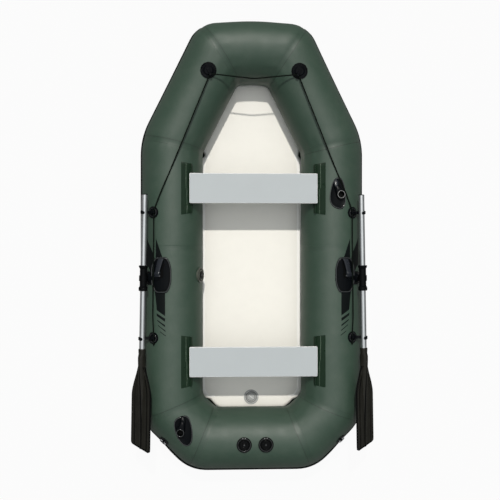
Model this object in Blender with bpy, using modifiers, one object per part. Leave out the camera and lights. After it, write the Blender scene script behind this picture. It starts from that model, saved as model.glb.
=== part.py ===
"""Inflatable rowing dinghy with two stowed oars, two sliding bench boards and an air floor.

The bow points along +Y, the right-hand side of a person facing the bow is +X, and +Z is up.
The flat bottom stands on Z = 0 and the middle of the outline is over the origin.
"""
import math

import bmesh
import bpy
from mathutils import Matrix, Vector

# Driving dimensions of the hull, in metres
LENGTH = 2.300
BEAM = 1.139
TUBE_RADIUS = 0.157
BOW_WIDTH = 0.355
BOW_SAG = 0.0115
STERN_WIDTH = 0.508
FORE_CORNER_Y = LENGTH * 0.227
AFT_CORNER_Y = LENGTH * -0.3605
SPLIT_Y = LENGTH * -0.0025
BOW_RISE = 0.050
RISE_START_Y = LENGTH * 0.155
CORNER_SOFT_IN = BOW_WIDTH * 0.0845
CORNER_SOFT_OUT = 0.092
SKIN = 0.0025
GAP = 0.0003
FLOOR_TOP = 0.080
STRAKE_HEIGHT = 0.0058
TUBE_SEGMENTS = 36
CORNER_STEPS = 4

# Driving dimensions of the benches and their rails
BENCH_OVERHANG = 0.0087
BENCH_WIDTH = 0.151
BENCH_THICKNESS = 0.016
BENCH_FRONT_Y = LENGTH * 0.1283
BENCH_REAR_Y = LENGTH * -0.2515
RAIL_LENGTH = 0.256
BEAD_RADIUS = 0.004
BEAD_ANGLE = 126.0
BEAD_HEIGHT = 0.010

# Driving dimensions of the oars and what holds them
OAR_STANDOFF = 0.050
OAR_ELEVATION = 47.1
SWING_LEAN = 30.0
OAR_REST_YAW = 1.15
PIVOT_Y = LENGTH * -0.0683
SHAFT_RADIUS = 0.015
SHAFT_WALL = 0.0015
HANDLE_REACH = LENGTH * 0.1817
BLADE_START = LENGTH * 0.1541
BLADE_END = LENGTH * 0.3800
BLADE_WIDTH = 0.136
COLLAR_RADIUS = 0.018
FLANGE_RADIUS = 0.0225
COLLAR_LENGTH = 0.128
KEEPER_ANGLE = 54.0
KEEPER_FRONT_Y = LENGTH * 0.0757
KEEPER_REAR_Y = LENGTH * -0.1995
ROPE_RADIUS = 0.0032
ROPE_ANGLE = 57.6
ROPE_HEIGHT = 0.0105
EYE_DISTANCE = 0.115
HOLDER_Y = LENGTH * 0.1164
RING_WIRE = 0.0022
PAD_LENGTH = 0.180
HOLDER_LENGTH = 0.158
HOLDER_WIDTH = 0.080
FLOOR_VALVE_INSET = 0.040

TUBE_CENTRE_Z = SKIN + GAP + TUBE_RADIUS
SIDE_X = BEAM / 2.0 - TUBE_RADIUS
BOW_SLOPE = 2.0 * BOW_SAG / BOW_WIDTH
BOW_BLUNT = CORNER_SOFT_OUT * BOW_SAG / BOW_WIDTH - TUBE_RADIUS * BOW_SLOPE ** 2 / 2.0
BOW_Y = LENGTH / 2.0 - TUBE_RADIUS + BOW_BLUNT
STERN_Y = TUBE_RADIUS + GAP + STRAKE_HEIGHT - LENGTH / 2.0

# Corners of the tube's centreline, clockwise from the bow as seen from above
CORNERS = [
    Vector((0.0, BOW_Y)),
    Vector((BOW_WIDTH / 2.0, BOW_Y - BOW_SAG)),
    Vector((SIDE_X, FORE_CORNER_Y)),
    Vector((SIDE_X, AFT_CORNER_Y)),
    Vector((STERN_WIDTH / 2.0, STERN_Y)),
    Vector((-STERN_WIDTH / 2.0, STERN_Y)),
    Vector((-SIDE_X, AFT_CORNER_Y)),
    Vector((-SIDE_X, FORE_CORNER_Y)),
    Vector((-BOW_WIDTH / 2.0, BOW_Y - BOW_SAG)),
]
FLANK, SIDE, QUARTER, STERN = range(1, 5)


# Scene set-up
def clear_scene():
    """Remove every object so the model starts from nothing."""
    for old in list(bpy.data.objects):
        bpy.data.objects.remove(old, do_unlink=True)


def make_collection(name):
    """Make a collection in the scene and return it."""
    found = bpy.data.collections.new(name)
    bpy.context.scene.collection.children.link(found)
    return found


clear_scene()
PARTS = make_collection("inflatable_boat")


def material(name, colour, roughness, metallic=0.0):
    """Return a new plain Principled material."""
    made = bpy.data.materials.new(name)
    made.use_nodes = True
    shader = made.node_tree.nodes["Principled BSDF"]
    shader.inputs["Base Color"].default_value = (*colour, 1.0)
    shader.inputs["Roughness"].default_value = roughness
    shader.inputs["Metallic"].default_value = metallic
    made.diffuse_color = (*colour, 1.0)
    return made


HULL_FABRIC = material("hull_fabric_green", (0.065, 0.115, 0.085), 0.55)
RAIL_FABRIC = material("rail_fabric_green", (0.018, 0.060, 0.022), 0.60)
FLOOR_FABRIC = material("floor_fabric_cream", (0.80, 0.78, 0.72), 0.45)
BOTTOM_FABRIC = material("bottom_fabric_green", (0.045, 0.080, 0.060), 0.60)
BLACK_RUBBER = material("black_rubber", (0.010, 0.011, 0.013), 0.60)
BLACK_PLASTIC = material("black_plastic", (0.012, 0.013, 0.015), 0.40)
GREY_PLASTIC = material("grey_plastic", (0.42, 0.43, 0.42), 0.45)
BOARD_FINISH = material("bench_board_grey", (0.52, 0.55, 0.59), 0.40)
ALUMINIUM = material("anodised_aluminium", (0.62, 0.64, 0.67), 0.30, 1.0)
STEEL = material("stainless_steel", (0.55, 0.56, 0.57), 0.25, 1.0)
BLACK_CORD = material("black_cord", (0.008, 0.008, 0.009), 0.85)


ALONG = Matrix.Rotation(math.pi / 2.0, 4, "Y")


# Mesh helpers
def tidy(mesh, merge=0.00001):
    """Merge doubled corners, drop loose bits and turn every face outwards."""
    bm = bmesh.new()
    bm.from_mesh(mesh)
    bmesh.ops.remove_doubles(bm, verts=bm.verts, dist=merge)
    bmesh.ops.dissolve_degenerate(bm, edges=bm.edges, dist=merge)
    loose = [v for v in bm.verts if not v.link_faces]
    bmesh.ops.delete(bm, geom=loose, context="VERTS")
    bmesh.ops.recalc_face_normals(bm, faces=bm.faces)
    if bm.calc_volume(signed=True) < 0.0:
        bmesh.ops.reverse_faces(bm, faces=bm.faces)
    bm.to_mesh(mesh)
    bm.free()


def add_mesh(name, verts, faces, finish):
    """Make an object from corner positions and faces."""
    mesh = bpy.data.meshes.new(name)
    mesh.from_pydata([tuple(v) for v in verts], [], faces)
    mesh.update()
    tidy(mesh)
    mesh.materials.append(finish)
    made = bpy.data.objects.new(name, mesh)
    PARTS.objects.link(made)
    return made


def bake(made):
    """Replace an object's mesh by what its modifiers make of it."""
    bpy.context.view_layer.update()
    depsgraph = bpy.context.evaluated_depsgraph_get()
    mesh = bpy.data.meshes.new_from_object(made.evaluated_get(depsgraph))
    finish = made.data.materials[0]
    if made.type == "MESH":
        made.modifiers.clear()
        made.data = mesh
        result = made
    else:
        name = made.name
        bpy.data.objects.remove(made, do_unlink=True)
        result = bpy.data.objects.new(name, mesh)
        PARTS.objects.link(result)
    tidy(result.data)
    result.data.materials.clear()
    result.data.materials.append(finish)
    return result


def turned(made, matrix):
    """Move an object's mesh by a matrix and keep its faces outwards."""
    made.data.transform(matrix)
    tidy(made.data)
    return made


def combine(made, other, operation):
    """Join or cut one solid with another, which is used up."""
    modifier = made.modifiers.new(operation.lower(), "BOOLEAN")
    modifier.operation = operation
    modifier.solver = "EXACT"
    modifier.object = other
    made = bake(made)
    bpy.data.objects.remove(other, do_unlink=True)
    return made


def union(made, *others):
    """Weld other solids to the first one."""
    for other in others:
        made = combine(made, other, "UNION")
    return made


def cut(made, *others):
    """Take other solids away from the first one."""
    for other in others:
        made = combine(made, other, "DIFFERENCE")
    return made


def rounded(made, width, segments=2, angle=35.0):
    """Round the sharp edges of a solid."""
    modifier = made.modifiers.new("rounding", "BEVEL")
    modifier.width = width
    modifier.segments = segments
    modifier.limit_method = "ANGLE"
    modifier.angle_limit = math.radians(angle)
    return bake(made)


def shade(made, angle=38.0):
    """Shade a solid smooth except over its sharp edges."""
    made.data.shade_smooth()
    made.data.set_sharp_from_angle(angle=math.radians(angle))
    return made


def lathe(name, profile, steps, finish, closed=False):
    """Turn a profile of (radius, height) about the Z axis with the Screw tool."""
    mesh = bpy.data.meshes.new(name)
    edges = [(i, i + 1) for i in range(len(profile) - 1)]
    if closed:
        edges.append((len(profile) - 1, 0))
    mesh.from_pydata([(r, 0.0, z) for r, z in profile], edges, [])
    mesh.materials.append(finish)
    made = bpy.data.objects.new(name, mesh)
    PARTS.objects.link(made)
    screw = made.modifiers.new("turning", "SCREW")
    screw.axis = "Z"
    screw.angle = math.tau
    screw.steps = steps
    screw.render_steps = steps
    screw.use_merge_vertices = True
    screw.merge_threshold = 0.00001
    return bake(made)


def rod(name, radius, low, high, steps, finish):
    """Make a plain round bar along Z."""
    profile = [(0.0, low), (radius, low), (radius, high), (0.0, high)]
    return lathe(name, profile, steps, finish)


def plate(name, outline, low, high, finish):
    """Raise a flat outline in X and Y into a slab from low to high."""
    count = len(outline)
    verts = [(x, y, low) for x, y in outline] + [(x, y, high) for x, y in outline]
    faces = [tuple(range(count)), tuple(range(count, 2 * count))]
    for i in range(count):
        j = (i + 1) % count
        faces.append((i, j, count + j, count + i))
    return add_mesh(name, verts, faces, finish)


def block(name, low, high, finish):
    """Make a box between two corners."""
    outline = [(low[0], low[1]), (high[0], low[1]), (high[0], high[1]), (low[0], high[1])]
    return plate(name, outline, low[2], high[2], finish)


def loft(name, rings, finish, closed=False):
    """Skin a row of equal rings of points and close both ends, or the row on itself."""
    size = len(rings[0])
    verts = [p for ring in rings for p in ring]
    faces = []
    spans = len(rings) if closed else len(rings) - 1
    for i in range(spans):
        a = i * size
        b = ((i + 1) % len(rings)) * size
        for k in range(size):
            m = (k + 1) % size
            faces.append((a + k, a + m, b + m, b + k))
    if not closed:
        last = (len(rings) - 1) * size
        faces.append(tuple(range(size)))
        faces.append(tuple(range(last, last + size)))
    return add_mesh(name, verts, faces, finish)


def cord(name, points, radius, finish, swell=None, closed=False):
    """Make a round cord through a row of points, with filled ends or joined up."""
    curve = bpy.data.curves.new(name, "CURVE")
    curve.dimensions = "3D"
    curve.bevel_depth = radius
    curve.bevel_resolution = 2
    curve.use_fill_caps = True
    line = curve.splines.new("POLY")
    line.use_cyclic_u = closed
    line.points.add(len(points) - 1)
    for i, point in enumerate(points):
        line.points[i].co = (*point, 1.0)
        line.points[i].radius = swell[i] if swell else 1.0
    curve.materials.append(finish)
    made = bpy.data.objects.new(name, curve)
    PARTS.objects.link(made)
    return bake(made)


def arc(centre, radius, start, end, steps):
    """Points of an arc in a plane, with the angles in degrees."""
    points = []
    for i in range(steps + 1):
        a = math.radians(start + (end - start) * i / steps)
        points.append((centre[0] + radius * math.cos(a), centre[1] + radius * math.sin(a)))
    return points


def oval(length, width, steps):
    """Outline of a stadium with its long side along X."""
    half = (length - width) / 2.0
    right = arc((half, 0.0), width / 2.0, -90.0, 90.0, steps)
    left = arc((-half, 0.0), width / 2.0, 90.0, 270.0, steps)
    return right + left


def rounded_box(length, width, radius, steps):
    """Outline of a rectangle with round corners."""
    x = length / 2.0 - radius
    y = width / 2.0 - radius
    points = arc((x, y), radius, 0.0, 90.0, steps)
    points += arc((-x, y), radius, 90.0, 180.0, steps)
    points += arc((-x, -y), radius, 180.0, 270.0, steps)
    points += arc((x, -y), radius, 270.0, 360.0, steps)
    return points


def on_left(made, name):
    """Make the left-hand twin of a right-hand solid."""
    mesh = made.data.copy()
    twin = bpy.data.objects.new(name, mesh)
    PARTS.objects.link(twin)
    mesh.transform(Matrix.Translation(made.location))
    mesh.transform(Matrix.Scale(-1.0, 4, Vector((1.0, 0.0, 0.0))))
    mesh.flip_normals()
    tidy(mesh)
    return shade(twin)


def set_origin(made, point):
    """Put a moving solid's origin on its joint."""
    made.data.transform(Matrix.Translation(-point))
    made.location = point
    return made


# The tube's path
def rise(y):
    """Height the hull turns up by at a distance along the boat."""
    if y <= RISE_START_Y:
        return 0.0
    part = (y - RISE_START_Y) / (BOW_Y - RISE_START_Y)
    return BOW_RISE * part * part


def heading(k):
    """Direction of the centreline from corner k to the next one."""
    return (CORNERS[(k + 1) % 9] - CORNERS[k % 9]).normalized()


def outward(direction):
    """Level direction that points out of the boat, square to a heading."""
    return Vector((-direction.y, direction.x))


def mitre(k, offset):
    """Corner k of the outline that lies a distance outside the centreline."""
    before = outward(heading(k - 1))
    after = outward(heading(k))
    middle = (before + after).normalized()
    return CORNERS[k % 9] + middle * (offset / middle.dot(after))


def softness(offset):
    """Length that a corner is rounded over, less on the inside of the bend."""
    part = min(1.0, max(0.0, (offset / TUBE_RADIUS + 1.0) / 2.0))
    return CORNER_SOFT_IN + (CORNER_SOFT_OUT - CORNER_SOFT_IN) * part


def corner_point(k, part, offset):
    """Point of a rounded corner, with part running from 0 to 1 round the bend."""
    length = softness(offset)
    middle = mitre(k, offset)
    start = middle - heading(k - 1) * length
    end = middle + heading(k) * length
    a = (1.0 - part) * (1.0 - part)
    b = 2.0 * part * (1.0 - part)
    return start * a + middle * b + end * (part * part)


def station_point(station, offset):
    """Plan point of a cross-section at a distance outside the centreline."""
    kind, place, part = station
    if kind == "corner":
        return corner_point(place, part, offset)
    if kind == "run":
        start = corner_point(place, 1.0, offset)
        end = corner_point(place + 1, 0.0, offset)
        return start + (end - start) * part
    return Vector((place * (SIDE_X + offset), part))


def shell_point(station, radius, angle):
    """Point on a ring round the tube's centreline."""
    flat = station_point(station, radius * math.cos(angle))
    return Vector((flat.x, flat.y, TUBE_CENTRE_Z + radius * math.sin(angle) + rise(flat.y)))


def corner_stations(k):
    """Cross-sections through one rounded corner."""
    return [("corner", k, i / CORNER_STEPS) for i in range(CORNER_STEPS + 1)]


def run_stations(k, count):
    """Cross-sections along a straight run between two corners."""
    return [("run", k, (i + 1) / (count + 1)) for i in range(count)]


def side_stations(sign, heights):
    """Square cross-sections on a straight side at given distances along the boat."""
    return [("square", sign, y) for y in heights]


RISING = [RISE_START_Y, RISE_START_Y + LENGTH * 0.028]
BOW_STATIONS = (
    side_stations(-1.0, [SPLIT_Y + GAP / 2.0] + RISING)
    + corner_stations(7) + run_stations(7, 4) + corner_stations(8)
    + corner_stations(0) + corner_stations(1) + run_stations(1, 4) + corner_stations(2)
    + side_stations(1.0, list(reversed(RISING)) + [SPLIT_Y + GAP / 2.0])
)
STERN_STATIONS = (
    side_stations(1.0, [SPLIT_Y - GAP / 2.0]) + corner_stations(3) + corner_stations(4)
    + corner_stations(5) + corner_stations(6) + side_stations(-1.0, [SPLIT_Y - GAP / 2.0])
)


def ring(station, radius):
    """Full ring of points of the tube at one cross-section."""
    steps = range(TUBE_SEGMENTS)
    return [shell_point(station, radius, math.tau * i / TUBE_SEGMENTS) for i in steps]


def grown_tube(name, growth):
    """Make the whole tube grown by a little, to shape fittings with."""
    rings = [ring(station, TUBE_RADIUS + growth) for station in BOW_STATIONS + STERN_STATIONS]
    made = loft(name, rings, HULL_FABRIC, closed=True)
    made.hide_render = True
    made.display_type = "WIRE"
    return made


SEAT = grown_tube("tube_seat", GAP)


def seated(made):
    """Hollow a fitting so that it lies on the tube."""
    modifier = made.modifiers.new("seat", "BOOLEAN")
    modifier.operation = "DIFFERENCE"
    modifier.solver = "EXACT"
    modifier.object = SEAT
    return bake(made)


def curved(made, thickness):
    """Trim a thick plug to a pad of even thickness that follows the tube."""
    return combine(made, grown_tube("trim", GAP + thickness), "INTERSECT")


def tube_point(k, distance, angle, radius):
    """Point over the straight run after corner k, at an angle round the tube."""
    flat = CORNERS[k] + heading(k) * distance
    flat = flat + outward(heading(k)) * (radius * math.cos(angle))
    return Vector((flat.x, flat.y, TUBE_CENTRE_Z + radius * math.sin(angle) + rise(flat.y)))


def tube_frame(k, distance, degrees, height=0.0, twist=0.0):
    """Frame on the tube: X along the run, Y down its outer side, Z out of the surface."""
    angle = math.radians(degrees)
    spot = tube_point(k, distance, angle, TUBE_RADIUS + height)
    along = tube_point(k, distance + 0.001, angle, TUBE_RADIUS + height) - spot
    around = spot - tube_point(k, distance, angle + 0.001, TUBE_RADIUS + height)
    x = along.normalized()
    z = x.cross(around).normalized()
    y = z.cross(x)
    frame = Matrix((x, y, z)).transposed().to_4x4()
    frame.translation = spot
    return frame @ Matrix.Rotation(math.radians(twist), 4, "Z")


def side_frame(y, degrees, height=0.0):
    """Frame on the right-hand side at a distance along the boat."""
    return tube_frame(SIDE, FORE_CORNER_Y - y, degrees, height)


# Hull
def make_tubes():
    """Make the bow and stern air chambers, parted at the cross seams amidships."""
    for name, stations in (("tube_bow", BOW_STATIONS), ("tube_stern", STERN_STATIONS)):
        rings = [ring(station, TUBE_RADIUS) for station in stations]
        shade(loft(name, rings, HULL_FABRIC), 50.0)


def outline_at(offset):
    """Closed plan outline at a distance outside the tube's centreline."""
    points = []
    for k in range(9):
        points += [corner_point(k, i / CORNER_STEPS, offset) for i in range(CORNER_STEPS + 1)]
    return [(p.x, p.y) for p in points]


def lifted(made):
    """Slice a flat slab across and let its front follow the turned-up bow."""
    bm = bmesh.new()
    bm.from_mesh(made.data)
    for i in range(9):
        y = RISE_START_Y + (BOW_Y - RISE_START_Y) * i / 8.0
        geometry = bm.verts[:] + bm.edges[:] + bm.faces[:]
        bmesh.ops.bisect_plane(bm, geom=geometry, plane_co=(0.0, y, 0.0), plane_no=(0.0, 1.0, 0.0))
    for vert in bm.verts:
        vert.co.z += rise(vert.co.y)
    bm.to_mesh(made.data)
    bm.free()
    tidy(made.data)
    return made


def make_bottom():
    """Make the bottom skin, which runs from tube to tube under the floor."""
    made = plate("bottom_skin", outline_at(0.030), 0.0, SKIN, BOTTOM_FABRIC)
    shade(lifted(made))


def make_floor():
    """Make the air floor, a flat drop-stitch panel held between the tubes."""
    low = SKIN + GAP
    reach = math.sqrt(TUBE_RADIUS ** 2 - (TUBE_CENTRE_Z - FLOOR_TOP) ** 2)
    made = plate("air_floor", outline_at(-reach - 0.004), low, FLOOR_TOP, FLOOR_FABRIC)
    made = rounded(made, 0.012, 2, 60.0)
    shade(lifted(made))


def make_strake():
    """Make the rubbing strake, from bow corner to bow corner round the stern."""
    edge, flank = 0.0010, STRAKE_HEIGHT - 0.0013
    profile = [(-10.0, edge), (-6.0, flank), (0.0, STRAKE_HEIGHT), (6.0, flank), (10.0, edge)]
    inner = [(10.0, 0.0), (0.0, 0.0), (-10.0, 0.0)]
    stations = corner_stations(1)[2:] + run_stations(1, 4) + corner_stations(2)
    stations += side_stations(1.0, list(reversed(RISING)))
    stations += corner_stations(3) + corner_stations(4)
    stations += corner_stations(5) + corner_stations(6)
    stations += side_stations(-1.0, RISING)
    stations += corner_stations(7) + run_stations(7, 4) + corner_stations(8)[:3]
    rings = []
    for station in stations:
        points = [(math.radians(a), TUBE_RADIUS + GAP + h) for a, h in profile + inner]
        rings.append([shell_point(station, radius, angle) for angle, radius in points])
    shade(loft("rub_strake", rings, BLACK_RUBBER))


# Benches
def bead_centre():
    """Place of the rail's bead in a cross-section, from the tube's centre."""
    radius = TUBE_RADIUS + BEAD_HEIGHT
    angle = math.radians(BEAD_ANGLE)
    return Vector((radius * math.cos(angle), radius * math.sin(angle)))


def section_bar(name, outline, low, high, finish):
    """Run a cross-section of the right-hand side fore and aft."""
    rings = []
    for y in (low, high):
        rings.append([Vector((SIDE_X + x, y, TUBE_CENTRE_Z + z)) for x, z in outline])
    return loft(name, rings, finish)


def make_rail(name, middle):
    """Make a welded strip with the bead that a bench slides on."""
    foot = TUBE_RADIUS + GAP
    top = foot + 0.0028
    low, high = 108.0, 132.0
    bead = bead_centre()
    angle = math.radians(BEAD_ANGLE)
    neck = 0.0018
    normal = Vector((math.cos(angle), math.sin(angle)))
    across = Vector((-normal.y, normal.x))
    start = middle - RAIL_LENGTH / 2.0
    end = middle + RAIL_LENGTH / 2.0
    strip = arc((0.0, 0.0), foot - 0.001, low, high, 6) + arc((0.0, 0.0), top, high, low, 6)
    made = section_bar(name, strip, start, end, RAIL_FABRIC)
    web = []
    for reach, side in ((top - 0.001, -neck), (top - 0.001, neck)):
        web.append(normal * reach + across * side)
    for side in (neck, -neck):
        web.append(bead + across * side)
    outline = [(p.x, p.y) for p in web]
    made = union(made, section_bar("web", outline, start, end, RAIL_FABRIC))
    ring_points = arc((bead.x, bead.y), BEAD_RADIUS, 0.0, 330.0, 11)
    made = union(made, section_bar("bead", ring_points, start, end, RAIL_FABRIC))
    return shade(seated(made))


def make_shoe(name, middle):
    """Make the channel under a bench end that grips the rail's bead."""
    bead = bead_centre()
    centre = (bead.x, bead.y)
    inner, outer = BEAD_RADIUS + 0.0007, BEAD_RADIUS + 0.0036
    neck = BEAD_ANGLE + 180.0
    start, end = neck + 46.0, neck + 314.0
    top = outer
    flank = outer * 0.72
    rim = arc(centre, outer, start, 360.0 + 44.0, 5)
    head = [(centre[0] + 0.009, centre[1] + flank), (centre[0] + 0.009, centre[1] + top)]
    head += [(centre[0] - 0.016, centre[1] + top), (centre[0] - 0.016, centre[1] + flank)]
    back = arc(centre, outer, 360.0 + 136.0, end, 6)
    bore = arc(centre, inner, end, start, 12)
    outline = rim + head + back + bore
    half = (BENCH_WIDTH - 0.016) / 2.0
    return shade(section_bar(name, outline, middle - half, middle + half, BLACK_PLASTIC))


def make_bench(name, middle):
    """Make a bench board."""
    low = TUBE_CENTRE_Z + bead_centre().y + BEAD_RADIUS + 0.0036 + GAP
    length = 2.0 * (SIDE_X + bead_centre().x + BENCH_OVERHANG)
    outline = rounded_box(length, BENCH_WIDTH, 0.005, 3)
    outline = [(x, y + middle) for x, y in outline]
    made = plate(name, outline, low, low + BENCH_THICKNESS, BOARD_FINISH)
    made = rounded(made, 0.0015, 1, 60.0)
    return shade(made)


def make_benches():
    """Make both benches with their rails and shoes."""
    for place, middle in (("front", BENCH_FRONT_Y), ("rear", BENCH_REAR_Y)):
        rail = make_rail(f"seat_rail_{place}_right", middle)
        on_left(rail, f"seat_rail_{place}_left")
        board = make_bench(f"bench_{place}_board", middle)
        shoe = make_shoe(f"bench_{place}_shoe_right", middle)
        twin = on_left(shoe, f"bench_{place}_shoe_left")
        origin = Vector((0.0, middle, board.data.vertices[0].co.z))
        for piece in (board, shoe, twin):
            set_origin(piece, origin)


# Valves
def make_valve(name, frame, seat_depth, finish):
    """Make a screw valve: a flanged body and the cap in it."""
    low = -seat_depth
    body = [(0.0, low), (0.0385, low), (0.0385, 0.0030), (0.0365, 0.0050), (0.0310, 0.0050)]
    body += [(0.0295, 0.0032), (0.0280, 0.0032), (0.0268, 0.0014), (0.0, 0.0014)]
    solid = turned(lathe(f"{name}_body", body, 22, finish), frame)
    if seat_depth > 0.0:
        solid = seated(solid)
    shade(solid)
    cap = [(0.0, 0.0014 + GAP), (0.0262, 0.0014 + GAP), (0.0262, 0.0064), (0.0246, 0.0074)]
    cap += [(0.0205, 0.0074), (0.0192, 0.0056), (0.0115, 0.0056), (0.0100, 0.0082), (0.0, 0.0084)]
    shade(turned(lathe(f"{name}_cap", cap, 20, finish), frame))


def make_valves():
    """Make the two stern valves, the one inside the left tube and the floor's."""
    middle = STERN_WIDTH / 2.0
    make_valve("stern_valve_right", tube_frame(STERN, middle - 0.062, 86.5), 0.007, BLACK_PLASTIC)
    make_valve("stern_valve_left", tube_frame(STERN, middle + 0.048, 86.5), 0.007, BLACK_PLASTIC)
    side = tube_frame(6, LENGTH * -0.0623 - AFT_CORNER_Y, 156.0)
    make_valve("side_valve", side, 0.007, BLACK_PLASTIC)
    spot = Matrix.Translation(Vector((0.0, STERN_Y + TUBE_RADIUS + FLOOR_VALVE_INSET, FLOOR_TOP + GAP)))
    make_valve("floor_valve", spot, 0.0, GREY_PLASTIC)


# Rod holders
HOLDER_RINGS = (
    (-0.0040, 0.0225, -0.046, -0.008, 0.0150),
    (0.0100, 0.0222, -0.042, -0.007, 0.0115),
    (0.0175, 0.0214, -0.030, -0.002, 0.0100),
    (0.0215, 0.0205, -0.014, 0.006, 0.0120),
)
HOLDER_MOUTH = Vector((0.003, 0.0125))


def egg(centre, radius, other, least, steps):
    """Outline wrapped round a large and a small circle."""
    span = other - centre
    turn = math.degrees(math.atan2(span.y, span.x))
    tilt = math.degrees(math.asin((radius - least) / span.length))
    big = arc(centre, radius, turn + 90.0 - tilt, turn + 270.0 + tilt, steps)
    return big + arc(other, least, turn - 90.0 + tilt, turn + 90.0 - tilt, steps)


def make_rod_holder(name, frame):
    """Make an oval mount with a raised body and the bored mouth of its socket."""
    base = turned(plate(name, oval(HOLDER_LENGTH, HOLDER_WIDTH, 7), -0.014, 0.014, BLACK_RUBBER), frame)
    base = curved(base, 0.0035)
    rings = []
    for height, radius, x, y, least in HOLDER_RINGS:
        points = egg(HOLDER_MOUTH, radius, Vector((x, y)), least, 6)
        rings.append([Vector((px, py, height)) for px, py in points])
    dome = loft("dome", rings, BLACK_RUBBER)
    spot = Matrix.Translation(Vector((HOLDER_MOUTH.x, HOLDER_MOUTH.y, 0.0)))
    collar = [(0.0, 0.004), (0.0190, 0.004), (0.0200, 0.0255), (0.0190, 0.0270), (0.0, 0.0270)]
    dome = union(dome, turned(lathe("collar", collar, 20, BLACK_RUBBER), spot))
    bore = turned(rod("bore", 0.0150, 0.003, 0.050, 20, BLACK_RUBBER), spot)
    base = union(base, turned(dome, frame))
    return shade(seated(cut(base, turned(bore, frame))))


def make_rod_holders():
    """Make the mount on the right of the front bench and the one on the left quarter."""
    right = tube_frame(SIDE, FORE_CORNER_Y - HOLDER_Y, 85.0)
    make_rod_holder("rod_holder_front", right)
    quarter = tube_frame(QUARTER, 0.106, 81.0, 0.0, 33.5)
    holder = make_rod_holder("quarter_helper", quarter)
    on_left(holder, "rod_holder_stern")
    bpy.data.objects.remove(holder, do_unlink=True)


# Quarter rings
def make_quarter_ring():
    """Make the patch and ring on each quarter."""
    frame = tube_frame(QUARTER, 0.084, 26.0)
    patch = turned(rod("quarter_patch_right", 0.028, -0.012, 0.012, 20, BLACK_RUBBER), frame)
    patch = curved(patch, 0.0025)
    loop = rounded(block("saddle", (-0.006, -0.009, -0.001), (0.006, 0.009, 0.0110), BLACK_RUBBER), 0.002, 1)
    tunnel = rod("tunnel", RING_WIRE + 2.0 * GAP, -0.030, 0.030, 16, BLACK_RUBBER)
    lift = Matrix.Translation(Vector((0.0, 0.0, 0.0064)))
    turned(tunnel, frame @ lift @ ALONG)
    patch = shade(seated(cut(union(patch, turned(loop, frame)), tunnel)))
    on_left(patch, "quarter_patch_left")
    wire = cord("quarter_ring_right", ring_path(0.0165, 0.030), RING_WIRE, STEEL, None, True)
    turned(wire, frame @ lift)
    shade(wire)
    on_left(wire, "quarter_ring_left")


def ring_path(half, drop):
    """Closed D path whose bar lies along X and whose bow hangs along Y."""
    path = [(-half * 0.94, 0.0), (0.0, 0.0), (half * 0.94, 0.0)]
    path += arc((0.0, drop - half), half, -10.0, 190.0, 10)
    return [Vector((x, y, -1.6 * max(0.0, y) ** 2)) for x, y in path]


# Oars
SWING_AXIS = Vector((math.sin(math.radians(SWING_LEAN)), 0.0, math.cos(math.radians(SWING_LEAN))))


def oar_pivot():
    """Place where the swing axis meets the right-hand oar's centreline."""
    reach = TUBE_RADIUS + OAR_STANDOFF
    angle = math.radians(OAR_ELEVATION)
    x = SIDE_X + reach * math.cos(angle)
    return Vector((x, PIVOT_Y, TUBE_CENTRE_Z + reach * math.sin(angle)))


def oar_frame():
    """Frame of the stowed right-hand oar: X to the blade, Y to its outer edge."""
    angle = math.radians(OAR_ELEVATION)
    x = Vector((0.0, -1.0, 0.0))
    z = Vector((math.cos(angle), 0.0, math.sin(angle)))
    y = z.cross(x)
    frame = Matrix((x, y, z)).transposed().to_4x4()
    yaw = Matrix.Rotation(math.radians(OAR_REST_YAW), 4, SWING_AXIS)
    return Matrix.Translation(oar_pivot()) @ yaw @ frame


def swing_frame():
    """Frame with Z on the swing axis and X along the stowed shaft."""
    x = Vector((0.0, -1.0, 0.0))
    z = SWING_AXIS
    y = z.cross(x)
    frame = Matrix((x, y, z)).transposed().to_4x4()
    yaw = Matrix.Rotation(math.radians(OAR_REST_YAW), 4, SWING_AXIS)
    return Matrix.Translation(oar_pivot()) @ yaw @ frame


def blade_section(part):
    """Closed section of the blade at a part of its length."""
    neck = 0.0175
    grow = min(1.0, max(0.0, (part - 0.10) / 0.36))
    grow = grow * grow * (3.0 - 2.0 * grow)
    half = neck + 0.0015 + (BLADE_WIDTH / 2.0 - neck - 0.0015) * grow
    fade = min(1.0, max(0.0, (part - 0.12) / 0.80))
    crown = 0.0175 * (1.0 - fade) ** 1.3 + 0.0045
    spine = neck * (1.0 - 0.62 * min(1.0, max(0.0, (part - 0.10) / 0.75)))
    web = 0.0028
    rim = 0.0042
    tip = min(1.0, max(0.0, (1.0 - part) / 0.055))
    round_off = 1.0 - 0.20 * (1.0 - math.sqrt(1.0 - (1.0 - tip) ** 2))
    half = half * round_off
    start = BLADE_START
    across = []
    for u, kind in ((1.0, "edge"), (0.94, "rim"), (0.84, "rim"), (0.76, "web"), (0.50, "web"),
                    (0.42, "rib"), (0.34, "web")):
        across.append((spine + (half - spine) * u, kind))
    top = []
    for w, kind in across:
        level = {"edge": 0.0016, "rim": rim, "web": web, "rib": rim}[kind]
        top.append((w, min(level, crown)))
    for degrees in (22.0, 55.0):
        a = math.radians(degrees)
        height = max(web, crown * math.sin(a))
        top.append((spine * math.cos(a), height))
    mirrored = [(-w, h) for w, h in reversed(top)]
    upper = top + [(0.0, crown)] + mirrored
    lower = [(w, -h) for w, h in reversed(upper)]
    points = []
    for w, h in upper + lower:
        slant = -0.050 * (w / BLADE_WIDTH + 0.5) * min(1.0, max(0.0, (part - 0.45) / 0.55))
        x = start + (BLADE_END - start) * part + slant
        points.append(Vector((x, w, h)))
    return points


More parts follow.
